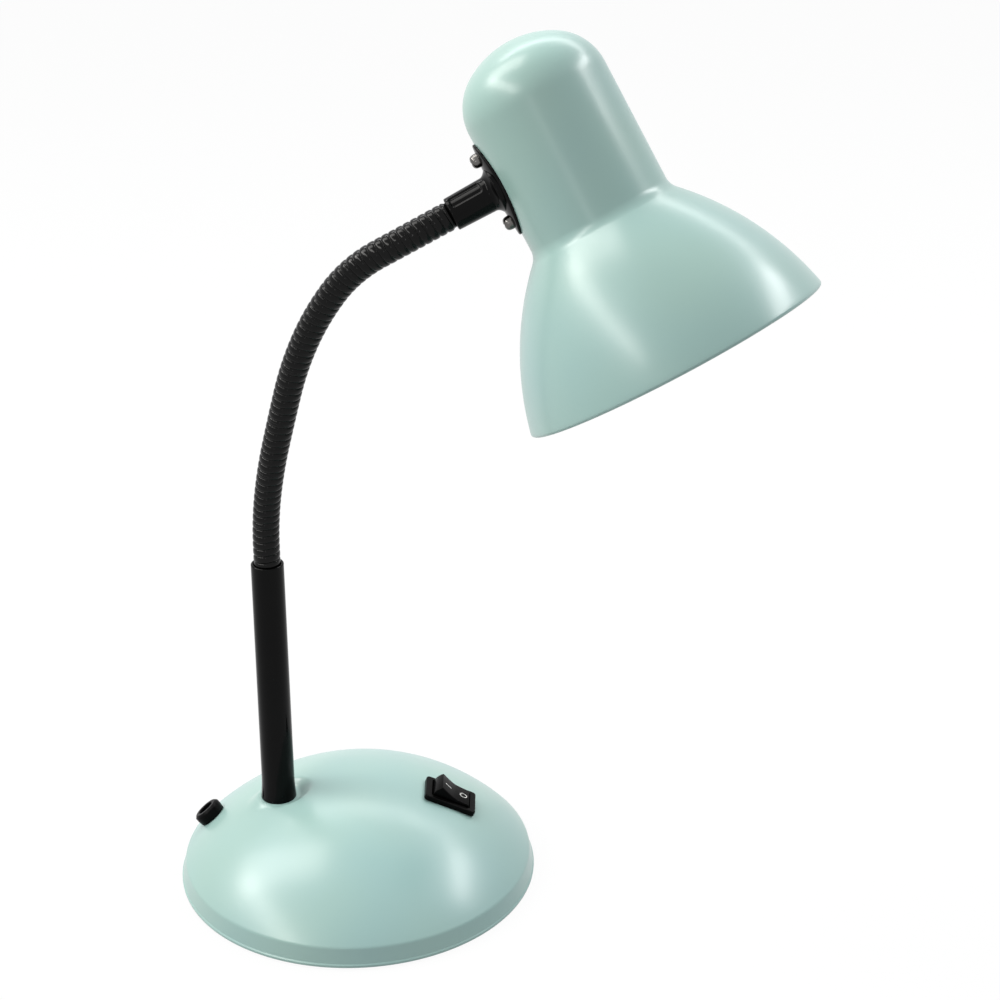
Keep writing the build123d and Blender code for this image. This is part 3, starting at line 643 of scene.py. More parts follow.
class Finish(Enum):
    """Every finish on the lamp."""

    MINT = PaintFinish("mint_enamel", screen_colour(163, 195, 187), screen_colour(157, 191, 188),
                       screen_colour(240, 248, 244))
    PLASTIC = MouldedFinish("black_plastic", (0.002, 0.002, 0.002, 1.0), (0.3, 0.38), dust=0.006, index=1.13)
    SLEEVE = MouldedFinish("black_sleeve", BLACK, (0.11, 0.15), 1100.0, 0.03 * MM, 0.02, 0.003, index=1.19)
    ROCKER = MouldedFinish("black_rocker", BLACK, (0.2, 0.26), 1600.0, 0.03 * MM, 0.15, 0.003, index=1.12)
    HOSE = MouldedFinish("black_hose", BLACK, (0.1, 0.14), 900.0, 0.03 * MM, 0.015, 0.002, index=1.25,
                         mask="groove")
    SCREW = MouldedFinish("blackened_screw", (0.13, 0.125, 0.12, 1.0), (0.18, 0.28), 1500.0, 0.03 * MM, 0.2,
                          0.03, metallic=1.0)
    JACKET = MouldedFinish("black_jacket", (0.02, 0.02, 0.02, 1.0), (0.5, 0.62), 1500.0, 0.04 * MM)
    CORE = MouldedFinish("brown_core", (0.16, 0.06, 0.025, 1.0), (0.42, 0.52), 1500.0, 0.03 * MM, 0.2)
    PLATE = MouldedFinish("black_plate", (0.02, 0.02, 0.021, 1.0), (0.4, 0.55), 800.0, 0.06 * MM, 0.4)
    IRON = MouldedFinish("grey_iron", (0.14, 0.14, 0.145, 1.0), (0.6, 0.8), 500.0, 0.2 * MM, 0.6, 0.1,
                         metallic=0.6)
    FOAM = MouldedFinish("soft_foam", (0.022, 0.022, 0.024, 1.0), (0.85, 0.95), 1300.0, 0.3 * MM, 0.8, 0.1)
    HOLDER = MouldedFinish("holder_black", (0.016, 0.016, 0.017, 1.0), (0.3, 0.44), 1200.0)
    MARK = MouldedFinish("white_mark", screen_colour(236, 236, 232), (0.45, 0.55), 1500.0, 0.02 * MM, 0.2,
                         0.12)
    STEEL = MetalFinish("plated_steel", (0.62, 0.62, 0.63, 1.0), (0.42, 0.40, 0.37, 1.0))
    BRASS = MetalFinish("contact_brass", (0.78, 0.57, 0.25, 1.0), (0.45, 0.30, 0.13, 1.0))
    CAP = MetalFinish("cap_metal", (0.80, 0.80, 0.80, 1.0), (0.55, 0.54, 0.52, 1.0), (0.2, 0.3))
    OPAL = OpalFinish("opal_glass", screen_colour(244, 242, 234), screen_colour(214, 208, 196))


class Wardrobe:
    """Makes each finish once and puts it on pieces."""

    def __init__(self) -> None:
        """Start with no materials."""
        self.made: dict[Finish, Material] = {}

    def dress(self, piece: Piece, finish: Finish) -> Piece:
        """Put a finish on a piece as its only material.

        Args:
            piece: the piece.
            finish: the finish, made when it is first asked for.

        Returns:
            The piece.
        """
        if finish not in self.made:
            self.made[finish] = finish.value.material()
        piece.data.materials.clear()
        piece.data.materials.append(self.made[finish])
        return piece


WARDROBE = Wardrobe()


def settle(piece: Piece, finish: Finish, body: str, slot: str, *nodes: str) -> None:
    """Dress a piece, let it ride on a body and stand for solids.

    Args:
        piece: the finished piece.
        finish: its finish.
        body: body that carries it.
        slot: material slot in the record; not used.
        nodes: solids that the piece stands for.
    """
    WARDROBE.dress(piece, finish)
    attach(piece, body)
    if nodes:
        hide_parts(*nodes)


@dataclass
class Base:
    """Domed base: shell with its pressed seat, and the bush for the mains lead."""

    radius: float = 70.0 * MM
    crease_radius: float = 68.2 * MM
    rim_height: float = 7.6 * MM
    rim_lift: float = 1.0 * MM
    dome_rise: float = 30.0 * MM
    crease_round: float = 2.5 * MM
    hem_reach: float = 0.45 * MM
    hem_height: float = 1.5 * MM
    wall: float = 1.0 * MM
    stem_offset: float = 30.8 * MM
    seat_radius: float = 8.4 * MM
    seat_sink: float = 1.3 * MM
    seat_soft: float = 0.5 * MM
    nipple_hole: float = 4.15 * MM
    bush_reach: float = 59.7 * MM
    bush_angle: float = math.radians(171.0)
    bush_radius: float = 5.7 * MM
    bush_height: float = 4.6 * MM
    bush_foot_radius: float = 5.45 * MM
    bush_chamfer: float = 0.9 * MM
    bush_neck_radius: float = 4.4 * MM
    bush_bore_radius: float = 3.2 * MM
    bush_bottom: float = 6.26 * MM
    bush_hole: float = 4.5 * MM
    bush_belly: float = 0.45
    hole_depth: float = 5.0 * MM
    window_depth: float = 9.0 * MM
    cutter_edge: float = 0.01 * MM
    soft_fade: float = 2.0
    seat_fade: float = 3.0
    seat_limit: float = 0.99
    crease_skip: int = 3
    dome_steps: int = 90
    inside_steps: int = 60
    hole_steps: int = 48
    bush_steps: int = 72
    segments: int = 288

    @property
    def dome_top(self) -> float:
        """Height of the top of the dome."""
        return self.rim_lift + self.rim_height + self.dome_rise

    @property
    def dome_radius(self) -> float:
        """Radius of the sphere that the dome is part of."""
        return (self.crease_radius**2 + self.dome_rise**2) / (2.0 * self.dome_rise)

    def dome_height(self, reach: Any, depth: float = 0.0) -> Any:
        """Height of the dome at a distance from its middle: centre + sqrt((R - depth)^2 - reach^2)."""
        return self.dome_top - self.dome_radius + np.sqrt((self.dome_radius - depth) ** 2 - reach**2)

    @property
    def seat_top(self) -> float:
        """Height of the flat seat under the stem."""
        return float(self.dome_height(self.stem_offset)) - self.seat_sink

    def stem_placing(self) -> Placing:
        """Placing of the stem on its seat, upright."""
        return Placing(np.array([-self.stem_offset, 0.0, self.seat_top]), RIGHT, UP)

    def placing_on_dome(self, reach: float, angle: float) -> Placing:
        """Placing that touches the dome, x pointing downhill and z outwards.

        Args:
            reach: distance from the middle of the base.
            angle: angle round the middle in radians.

        Returns:
            The placing.
        """
        out = np.array([math.cos(angle), math.sin(angle), 0.0])
        sine = reach / self.dome_radius
        cosine = math.sqrt(1.0 - sine**2)
        origin = out * reach + UP * float(self.dome_height(reach))
        return Placing(origin, out * cosine - UP * sine, out * sine + UP * cosine)

    def pressed(self, points: Array) -> Array:
        """Press the seat for the stem into the dome.

        The dome's height is held between two cones that meet in the seat's flat disc, with
        soft corners, and each point moves up or down by the change.

        Args:
            points: points of the dome.

        Returns:
            The moved points.
        """
        reach = np.minimum(np.hypot(points[:, 0], points[:, 1]), self.crease_radius)
        dome = self.dome_height(reach)
        edge = np.maximum(np.hypot(points[:, 0] + self.stem_offset, points[:, 1]) - self.seat_radius, 0.0)
        soft = self.seat_soft * np.exp(-((edge / (self.soft_fade * self.seat_radius)) ** 2))
        high, low = self.seat_top + edge, self.seat_top - edge
        held = 0.5 * (dome + high - np.sqrt((dome - high) ** 2 + soft**2))
        held = 0.5 * (held + low + np.sqrt((held - low) ** 2 + soft**2))
        fade = smooth_step(1.0 - edge / (self.seat_fade * self.seat_radius))
        moved = points.copy()
        moved[:, 2] += (held - dome) * fade * (reach < self.crease_radius * self.seat_limit)
        return moved

    def profile(self) -> Array:
        """Outline of the shell from the top of the dome round the rim and back inside."""
        skip = self.crease_skip
        reach = np.linspace(0.0, self.crease_radius, self.dome_steps)
        outer = np.stack([reach, self.dome_height(reach)], axis=1)
        inner_reach = np.linspace(self.crease_radius - self.wall, 0.0, self.inside_steps)
        inner = np.stack([inner_reach, self.dome_height(inner_reach, self.wall)], axis=1)
        hem = self.rim_lift + self.hem_height
        rim = np.array([
            [self.radius - self.hem_reach, hem],
            [self.radius, hem - self.hem_reach],
            [self.radius, self.rim_lift],
            [self.radius - self.wall, self.rim_lift],
        ])
        corners = np.concatenate([outer[:-skip], outer[-1:], rim, inner[:1], inner[skip:]])
        radii = np.zeros(len(corners))
        at = len(outer) - skip
        radii[at] = self.crease_round
        radii[at + 1 : at + 5] = np.array([0.3, 0.35, 0.4, 0.3]) * MM
        radii[at + 5] = self.crease_round - self.wall
        return rounded(corners, radii, 8, closed=False)

    def cutter(self, switch: "Switch") -> Piece:
        """Make the block that cuts the three holes: stem, switch and bush.

        Args:
            switch: the switch, which gives its cut-out.

        Returns:
            The cutter, which is removed after use.
        """
        shape = Shape()
        for radius, placing in (
            (self.nipple_hole, self.stem_placing()),
            (self.bush_hole, self.placing_on_dome(self.bush_reach, self.bush_angle)),
        ):
            outline = rectangle(0.0, radius, -self.hole_depth, self.hole_depth)
            shape.add(*revolved(outline, placing, self.hole_steps))
        half = switch.cutout_length / 2.0
        outline = rectangle(-half, half, -self.window_depth, self.window_depth)
        shape.add(*extruded(outline, switch.cutout_width / 2.0, self.cutter_edge, switch.placing()))
        return shape.piece("base_cutter")

    def shell(self, switch: "Switch") -> Piece:
        """Build the pressed shell with its holes.

        Args:
            switch: the switch, which gives its cut-out.

        Returns:
            The piece.
        """
        points, faces = revolved(self.profile(), UPRIGHT, self.segments)
        made = Shape().add(self.pressed(points), faces).piece("base_dome")
        cutter = self.cutter(switch)
        cut = made.modifiers.new("holes", "BOOLEAN")
        cut.operation = "DIFFERENCE"
        cut.solver = "EXACT"
        cut.object = cutter
        final = bpy.data.meshes.new_from_object(made.evaluated_get(bpy.context.evaluated_depsgraph_get()))
        made.modifiers.clear()
        made.data = final
        bpy.data.objects.remove(cutter)
        return made

    def bush(self) -> Piece:
        """Build the bush: a chamfered drum with a neck and a bore."""
        corners = [
            (self.bush_bore_radius, -self.bush_bottom),
            (self.bush_neck_radius, -self.bush_bottom),
            (self.bush_neck_radius, SEAT_GAP),
            (self.bush_foot_radius, SEAT_GAP),
            (self.bush_radius, self.bush_height * self.bush_belly),
            (self.bush_radius, self.bush_height - self.bush_chamfer),
            (self.bush_radius - self.bush_chamfer, self.bush_height),
            (self.bush_bore_radius, self.bush_height),
        ]
        radii = np.array([0.0, 0.2, 0.0, 0.2, 2.0, 0.6, 0.4, 0.4]) * MM
        placing = self.placing_on_dome(self.bush_reach, self.bush_angle)
        return Shape().add(*revolved(rounded(corners, radii), placing, self.bush_steps)).piece("mains_bush")

    def build(self, switch: "Switch") -> None:
        """Build and dress the base.

        Args:
            switch: the switch, which gives its cut-out.
        """
        settle(self.shell(switch), Finish.MINT, "base", "mint_paint", "base_shell")
        settle(self.bush(), Finish.PLASTIC, "base", "black_plastic", "cord_bush")


@dataclass
class Switch:
    """Rocker switch: the rocker and its two marks, in the housing that is kept as it is."""

    base: Base
    offset: float = 36.5 * MM
    cutout_length: float = 19.2 * MM
    cutout_width: float = 12.9 * MM
    bezel_thickness: float = 2.0 * MM
    pivot_depth: float = 1.2 * MM
    rocker_radius: float = 7.7 * MM
    rocker_under: float = 3.0 * MM
    rocker_width: float = 10.8 * MM
    crown: float = 2.9 * MM
    dish: float = 0.3 * MM
    dish_angle: float = math.radians(11.0)
    half_throw: float = math.radians(15.0)
    ring_place: float = 3.9 * MM
    bar_place: float = -3.4 * MM
    mark_lift: float = 0.04 * MM
    ring_radius: float = 1.55 * MM
    ring_width: float = 0.34 * MM
    bar_length: float = 3.1 * MM
    bar_width: float = 0.42 * MM
    rocker_edge: float = 0.35 * MM
    tip_share: float = 0.97
    tip_gap: float = 0.06
    ring_squeeze: float = 0.92
    top_steps: int = 30
    ring_steps: int = 48
    bar_steps: int = 9

    def placing(self) -> Placing:
        """Placing of the switch on the dome."""
        return self.base.placing_on_dome(self.offset, 0.0)

    def rocker_placing(self) -> Placing:
        """Placing of the rocker at its pivot, its outer end pressed in."""
        half = self.cutout_width / 2.0
        drop = self.base.dome_radius - math.sqrt(self.base.dome_radius**2 - half**2)
        stand = self.placing().lifted(self.bezel_thickness - drop - self.pivot_depth)
        cosine, sine = math.cos(self.half_throw), math.sin(self.half_throw)
        return Placing(stand.origin, stand.x * cosine - stand.z * sine, stand.z * cosine + stand.x * sine)

    def top(self, along: Any) -> Any:
        """Height of the rocker's dished top: a hyperbola that nears two slopes of the dish angle."""
        slope = np.asarray(along) * math.tan(self.dish_angle)
        return self.crown - self.dish / 2.0 + np.sqrt(slope**2 + self.dish**2)

    def rocker(self) -> Piece:
        """Build the rocker from its side outline."""
        tip = self.rocker_radius * self.tip_share
        along = np.linspace(tip, -tip, self.top_steps)
        high = np.minimum(self.top(along), np.sqrt(np.maximum(self.rocker_radius**2 - along**2, 0.0)))
        foot = math.sqrt(self.rocker_radius**2 - self.rocker_under**2)
        low_angle = math.asin(self.rocker_under / self.rocker_radius)
        left_stop = math.pi - math.asin(float(high[-1]) / self.rocker_radius)
        left = arc((0.0, 0.0), self.rocker_radius, left_stop + self.tip_gap, math.pi + low_angle, 12)
        right = arc((0.0, 0.0), self.rocker_radius, -low_angle, math.pi - left_stop - self.tip_gap, 12)
        bottom = np.stack([np.linspace(-foot, foot, 8)[1:-1], np.full(6, -self.rocker_under)], axis=1)
        outline = np.concatenate([np.stack([along, high], axis=1), left, bottom, right])
        block = extruded(outline, self.rocker_width / 2.0, self.rocker_edge, self.rocker_placing())
        return Shape().add(*block).piece("rocker_cap", 50.0)

    def marks(self) -> Piece:
        """Build the ring on the outer half and the bar on the inner half of the rocker."""
        placing, lift = self.rocker_placing(), self.mark_lift
        shape = Shape()
        angle = round_angles(self.ring_steps)
        loop = rectangle(self.ring_radius - self.ring_width, self.ring_radius, -lift, lift)
        along = self.ring_place + loop[:, :1] * np.cos(angle)
        across = loop[:, :1] * np.sin(angle) * self.ring_squeeze
        points = placing.at(along, across, self.top(along) + loop[:, 1:]).reshape(-1, 3)
        shape.add(points, [grid_faces(len(loop), self.ring_steps, True)])
        loop = rectangle(-self.bar_width / 2.0, self.bar_width / 2.0, -lift, lift)
        step = np.linspace(-1.0, 1.0, self.bar_steps)[:, None]
        along = self.bar_place + step * self.bar_length / 2.0
        points = placing.at(along, loop[:, 0], self.top(along) + loop[:, 1]).reshape(-1, 3)
        corner = np.arange(len(loop))
        ends = np.stack([corner[::-1], corner + len(points) - len(loop)])
        shape.add(points, [grid_faces(self.bar_steps, len(loop), False), ends])
        return shape.piece("rocker_marks", 40.0)

    def build(self) -> None:
        """Build and dress the switch."""
        settle(self.rocker(), Finish.ROCKER, "rocker", "black_rocker", "switch_rocker")
        settle(self.marks(), Finish.MARK, "rocker", "black_rocker")


@dataclass
class Neck:
    """Sleeve and wound hose: upright in the sleeve, then one arc for each link."""

    base: Base
    start: float = 133.3 * MM
    foot_radius: float = 6.95 * MM
    waist_radius: float = 6.4 * MM
    top_radius: float = 6.2 * MM
    foot_height: float = 10.0 * MM
    sleeve_bore: float = 5.3 * MM
    pitch: float = 2.81 * MM
    crest: float = 5.05 * MM
    valley: float = 4.45 * MM
    bore: float = 2.9 * MM
    stub_ribs: int = 2
    link_ribs: int = 8
    end_ribs: int = 2
    nipple_shoulder: float = 8.0 * MM
    socket_depth: float = 10.0 * MM
    pivot_lift: float = 0.3355 * MM
    blend_reach: float = 11.2 * MM
    lean_angles: tuple[float, ...] = (12.6, 16.7, 17.6, 26.6, 36.9, 59.9, 63.5)
    swing_angles: tuple[float, ...] = (-47.9, -34.1, -32.9, -26.6, -18.3, -8.3, 10.9)
    foot_edge: float = 0.3 * MM
    lip_edges: Pair = (0.45 * MM, 0.25 * MM)
    rib_power: float = 3.0
    rib_fullness: float = 0.6
    rib_fade: float = 0.6
    groove_start: float = 0.35
    groove_span: float = 0.6
    flare_steps: int = 14
    sleeve_steps: int = 80
    round_steps: int = 72
    rib_steps: int = 20

    @property
    def link_length(self) -> float:
        """Length of one link."""
        return self.link_ribs * self.pitch

    @property
    def length(self) -> float:
        """Length from the top of the sleeve to the mouth of the collar."""
        return (self.stub_ribs + self.end_ribs) * self.pitch + len(self.lean_angles) * self.link_length

    def headings(self) -> Array:
        """Directions of the neck at the ends of its links, upright first."""
        lean, swing = np.radians(self.lean_angles)[:, None], np.radians(self.swing_angles)
        level = np.stack([np.cos(swing), np.sin(swing), np.zeros_like(swing)], axis=1)
        return np.concatenate([UP[None], level * np.sin(lean) + UP * np.cos(lean)])

    def line(self, length: Array) -> tuple[Array, Array, Array]:
        """Centre line of the neck: upright, then one arc from each heading to the next.

        Turned by t on an arc of length L from heading a to heading b, which lie w apart, the line
        is L / w (a sin t + c (1 - cos t)) from the arc's start and heads along a cos t + c sin t,
        where c = (b - a cos w) / sin w.

        Args:
            length: lengths from the top of the sleeve.

        Returns:
            Points on the line, its directions there and the level directions across it.
        """
        straight = np.minimum(length, self.stub_ribs * self.pitch)
        foot = np.array([-self.base.stem_offset, 0.0, self.start])
        points = foot + straight[:, None] * UP
        heading = np.broadcast_to(UP, points.shape)
        left = length - straight
        turns = self.headings()
        for first, last in zip(turns, turns[1:]):
            bend = math.acos(float(first @ last))
            across = (last - first * math.cos(bend)) / math.sin(bend)
            step = np.minimum(left, self.link_length)
            turn = (bend * step / self.link_length)[:, None]
            move = first * np.sin(turn) + across * (1.0 - np.cos(turn))
            points = points + move * (self.link_length / bend)
            heading = np.where(left[:, None] > 0.0, first * np.cos(turn) + across * np.sin(turn), heading)
            left = left - step
        upright = heading[:, 2:] > 1.0 - 1e-9
        level = unit(np.cross(UP, np.where(upright, turns[1], heading)))
        return points + left[:, None] * heading, heading, level

    def sleeve(self) -> Piece:
        """Build the sleeve: a tapered tube with a softly flared foot and a rolled lip."""
        height = self.start - self.base.seat_top
        rise = np.linspace(0.0, 1.0, self.flare_steps)
        foot = self.waist_radius + (self.foot_radius - self.waist_radius) * (1.0 - rise) ** 2
        corners = np.concatenate([
            [[self.sleeve_bore, SEAT_GAP]],
            np.stack([foot, rise * self.foot_height + SEAT_GAP], axis=1),
            [[self.top_radius, height], [self.sleeve_bore, height]],
        ])
        radii = np.zeros(len(corners))
        radii[1] = self.foot_edge
        radii[-2:] = self.lip_edges
        tube = revolved(rounded(corners, radii), self.base.stem_placing(), self.sleeve_steps)
        return Shape().add(*tube).piece("stem_tube")

    def hose(self, number: int, first: float, last: float) -> Piece:
        """Build one length of the hose, a tube with one helical rib and a plain bore.

        The outer radius is valley + (crest - valley) (1 - |2u - 1|^power)^fullness, where u is
        the fraction of length / pitch - angle / turn, and it falls to the valley past the last rib.

        Args:
            number: number of the length, counted from the sleeve.
            first: where it starts.
            last: where it ends.

        Returns:
            The piece.
        """
        steps = round((last - first) / self.pitch * self.rib_steps)
        along = np.linspace(first, last, steps + 1)
        angle = round_angles(self.round_steps)
        u = np.mod(along[:, None] / self.pitch - angle[None, :] / (2.0 * np.pi), 1.0)
        ridge = (1.0 - np.abs(2.0 * u - 1.0) ** self.rib_power) ** self.rib_fullness
        ridge = ridge * smooth_step((self.length - along) / (self.rib_fade * self.pitch))[:, None]
        radius = np.concatenate([
            self.valley + (self.crest - self.valley) * ridge,
            np.full((2, self.round_steps), self.bore),
        ])
        stations = np.concatenate([along, [last, first]])
        centre, heading, level = self.line(stations)
        second = np.cross(heading, level)
        spread = radius[..., None] * (np.cos(angle)[None, :, None] * level[:, None, :]
                                      + np.sin(angle)[None, :, None] * second[:, None, :])
        points = (centre[:, None, :] + spread).reshape(-1, 3)
        shape = Shape().add(points, [grid_faces(len(stations), self.round_steps, True)])
        made = shape.piece(f"hose_length_{number}")
        groove = np.concatenate([1.0 - ridge, np.ones((2, self.round_steps))]).ravel()
        depth = smooth_step((groove - self.groove_start) / self.groove_span)
        mask = made.data.attributes.new("groove", "FLOAT", "POINT")
        mask.data.foreach_set("value", depth.astype(np.float32))
        return made

    def build(self) -> None:
        """Build and dress the sleeve and the hose, one length of hose for each joint."""
        settle(self.sleeve(), Finish.SLEEVE, "base", "black_plastic", "stem_sleeve")
        ribs = self.stub_ribs + self.link_ribs * np.arange(len(self.lean_angles) + 1)
        joints = ribs * self.pitch + self.pivot_lift
        bottom = self.base.seat_top + self.nipple_shoulder - self.start
        ends = np.concatenate([[bottom], (joints[:-1] + joints[1:]) / 2.0, [self.length + self.socket_depth]])
        for index, joint in enumerate(joints):
            first, last = float(ends[index]), float(ends[index + 1])
            made = WARDROBE.dress(self.hose(index + 1, first, last), Finish.HOSE)
            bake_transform(made)
            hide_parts(f"neck_section_{index + 1}")
            if index == len(joints) - 1:
                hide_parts(f"neck_section_{index + 2}")


@dataclass
class Head:
    """Collar with its screws, and shade, set square to the end of the neck."""

    neck: Neck
    reach: float = 44.0 * MM
    twist: float = math.radians(-18.9)
    mouth_radius: float = 5.85 * MM
    root_radius: float = 6.15 * MM
    skirt_radius: float = 8.6 * MM
    skirt_height: float = 2.2 * MM
    flange_half_length: float = 17.0 * MM
    flange_half_width: float = 9.2 * MM
    flange_thickness: float = 1.8 * MM
    flange_thinning: float = 0.5
    panel_length: float = 12.0 * MM
    panel_width: float = 4.8 * MM
    panel_depth: float = 0.6 * MM
    panel_round: float = 1.2 * MM
    panel_angle: float = math.radians(38.0)
    screw_spread: float = 11.7 * MM
    screw_radius: float = 2.5 * MM
    screw_height: float = 2.2 * MM
    screw_fall: float = 0.25
    screw_edge: float = 7.0
    screw_sink: float = 0.8 * MM
    screw_steps: int = 72
    cross_half_width: float = 0.42 * MM
    cross_edge: float = 0.18 * MM
    cross_reach: float = 1.55 * MM
    cross_end: float = 0.3 * MM
    cross_depth: float = 0.95 * MM
    barrel_sink: float = 2.4 * MM
    skirt_tail: float = 0.6 * MM
    skirt_power: float = 2.2
    mouth_edge: float = 0.5 * MM
    panel_shift: float = 0.2 * MM
    panel_edge: float = 0.45 * MM
    socket_play: float = 0.1 * MM
    collar_steps: int = 96
    housing_radius: float = 25.9 * MM
    crown_height: float = 41.4 * MM
    crown_radius: float = 32.0 * MM
    shoulder_radius: float = 19.2 * MM
    throat_round: float = 6.4 * MM
    bell_radius: float = 106.7 * MM
    shade_radius: float = 55.6 * MM
    shade_depth: float = 78.55 * MM
    shade_angle: float = math.radians(13.1)
    wall: float = 0.8 * MM
    lip_radius: float = 1.0 * MM
    crown_steps: int = 16
    shoulder_steps: int = 22
    straight_steps: int = 18
    throat_steps: int = 16
    bell_steps: int = 44
    lip_steps: int = 20
    barrel_rows: int = 70
    skirt_rows: int = 26
    flat_steps: int = 14
    screw_rows: int = 30
    segments: int = 224

    def __post_init__(self) -> None:
        """Work out the head's directions from the end of the neck."""
        point, heading, level = self.neck.line(np.array([self.neck.length]))
        self.forward = heading[0]
        second = np.cross(self.forward, level[0])
        self.side = level[0] * math.cos(self.twist) + second * math.sin(self.twist)
        self.axis = np.cross(self.side, self.forward)
        self.centre = point[0] + self.forward * self.reach

    def shade_placing(self) -> Placing:
        """Placing of the shade, z along its axis towards the mouth and x away from the neck."""
        return Placing(self.centre, self.forward, self.axis)

    def collar_placing(self) -> Placing:
        """Placing of the collar, z back towards the neck and x to the side."""
        return Placing(self.centre, self.side, -self.forward)

    def shade_curve(self, inset: float, lip: float) -> Array:
        """Curve of the shade at a depth under its outer face, from the crown to the lip.

        Five tangent pieces: crown arc, shoulder arc, straight housing, throat arc and bell arc.

        Args:
            inset: depth under the outer face.
            lip: angle of the bell arc that is left for the lip.

        Returns:
            Pairs of radius and depth along the axis.
        """
        crown = np.array([0.0, self.crown_radius - self.crown_height])
        run = self.housing_radius - self.shoulder_radius
        rise = math.sqrt((self.crown_radius - self.shoulder_radius) ** 2 - run**2)
        shoulder = np.array([run, crown[1] - rise])
        bell = np.array([
            self.shade_radius - self.bell_radius * math.cos(self.shade_angle),
            self.shade_depth + self.bell_radius * math.sin(self.shade_angle),
        ])
        across = self.housing_radius + self.throat_round - bell[0]
        drop = math.sqrt((self.bell_radius + self.throat_round) ** 2 - across**2)
        throat = np.array([self.housing_radius + self.throat_round, bell[1] - drop])
        meet = math.atan2(-rise, run)
        to_bell = math.atan2(bell[1] - throat[1], bell[0] - throat[0])
        from_throat = to_bell - math.pi
        stop = -self.shade_angle - lip
        straight = np.linspace(shoulder[1], throat[1], self.straight_steps)[1:-1]
        parts = [
            arc(tuple(crown), self.crown_radius - inset, -math.pi / 2.0, meet, self.crown_steps),
            arc(tuple(shoulder), self.shoulder_radius - inset, meet, 0.0, self.shoulder_steps),
            np.stack([np.full_like(straight, self.housing_radius - inset), straight], axis=1),
            arc(tuple(throat), self.throat_round + inset, math.pi, to_bell, self.throat_steps),
            arc(tuple(bell), self.bell_radius - inset, from_throat, stop, self.bell_steps)[1:],
        ]
        curve = np.concatenate(parts)
        keep = np.linalg.norm(np.diff(curve, axis=0, prepend=curve[:1] - 1.0), axis=1) > 1e-7
        curve[0, 0] = 0.0
        return curve[keep]

    def shade(self) -> Piece:
        """Build the spun shade: one wall, the lip rolled inwards, painted all over."""
        hidden = math.acos(1.0 - self.wall / self.lip_radius)
        lip_reach = self.lip_radius * math.sin(hidden) / (self.bell_radius - self.wall)
        outer = self.shade_curve(0.0, 0.0)
        inner = self.shade_curve(self.wall, lip_reach)[::-1]
        cosine, sine = math.cos(self.shade_angle), math.sin(self.shade_angle)
        lip_centre = (self.shade_radius - self.lip_radius * cosine, self.shade_depth + self.lip_radius * sine)
        stop = 2.0 * math.pi - self.shade_angle - hidden
        lip = arc(lip_centre, self.lip_radius, -self.shade_angle, stop, self.lip_steps)
        profile = np.concatenate([outer, lip[1:-1], inner])
        points, faces = revolved(profile, self.shade_placing(), self.segments)
        return Shape().add(points, faces).piece("bell_shade")

    def barrel(self) -> Piece:
        """Build the collar's barrel with its skirt and two sunk panels.

        Row radius runs from the mouth to the root in a straight line, then opens into the skirt
        by a power of the share. Each panel lowers the radius where a rounded box in length and
        width is below zero.
        """
        face = self.housing_radius + self.flange_thickness
        skirt_top = face + self.skirt_height
        lengths = np.concatenate([
            np.linspace(self.reach, skirt_top, self.barrel_rows),
            np.linspace(skirt_top, face - self.barrel_sink, self.skirt_rows)[1:],
        ])
        share = np.clip((skirt_top - lengths) / (self.skirt_height + self.skirt_tail), 0.0, 1.0)
        cone = np.interp(lengths, [skirt_top, self.reach], [self.root_radius, self.mouth_radius])
        radius = cone + (self.skirt_radius - self.root_radius) * share**self.skirt_power
        edge = np.clip((self.reach - lengths) / self.mouth_edge, 0.0, 1.0)
        radius = radius - self.mouth_edge * (1.0 - np.sqrt(1.0 - (1.0 - edge) ** 2))
        angle = round_angles(self.collar_steps)
        sine, cosine = math.sin(self.panel_angle), math.cos(self.panel_angle)
        middle = (skirt_top + self.reach) / 2.0 - self.panel_shift
        along = np.abs(lengths - middle)[:, None] - (self.panel_length / 2.0 - self.panel_round)
        around = np.abs(np.abs(np.cos(angle)) * sine + np.sin(angle) * cosine)
        around = np.where(np.sin(angle) < sine, around, 1.0)
        across = around[None, :] * radius[:, None] - (self.panel_width / 2.0 - self.panel_round)
        outside = np.hypot(np.maximum(along, 0.0), np.maximum(across, 0.0))
        box = outside + np.minimum(np.maximum(along, across), 0.0)
        sunk = smooth_step((self.panel_round - box) / self.panel_edge)
        inner = np.full((2, self.collar_steps), self.neck.valley + self.socket_play)
        rows = np.concatenate([radius[:, None] - self.panel_depth * sunk, inner])
        stations = np.concatenate([lengths, lengths[-1:], lengths[:1]])[:, None]
        points = self.collar_placing().at(rows * np.cos(angle), rows * np.sin(angle), stations)
        faces = grid_faces(len(rows), self.collar_steps, True)
        return Shape().add(points.reshape(-1, 3), [faces]).piece("collar_barrel")

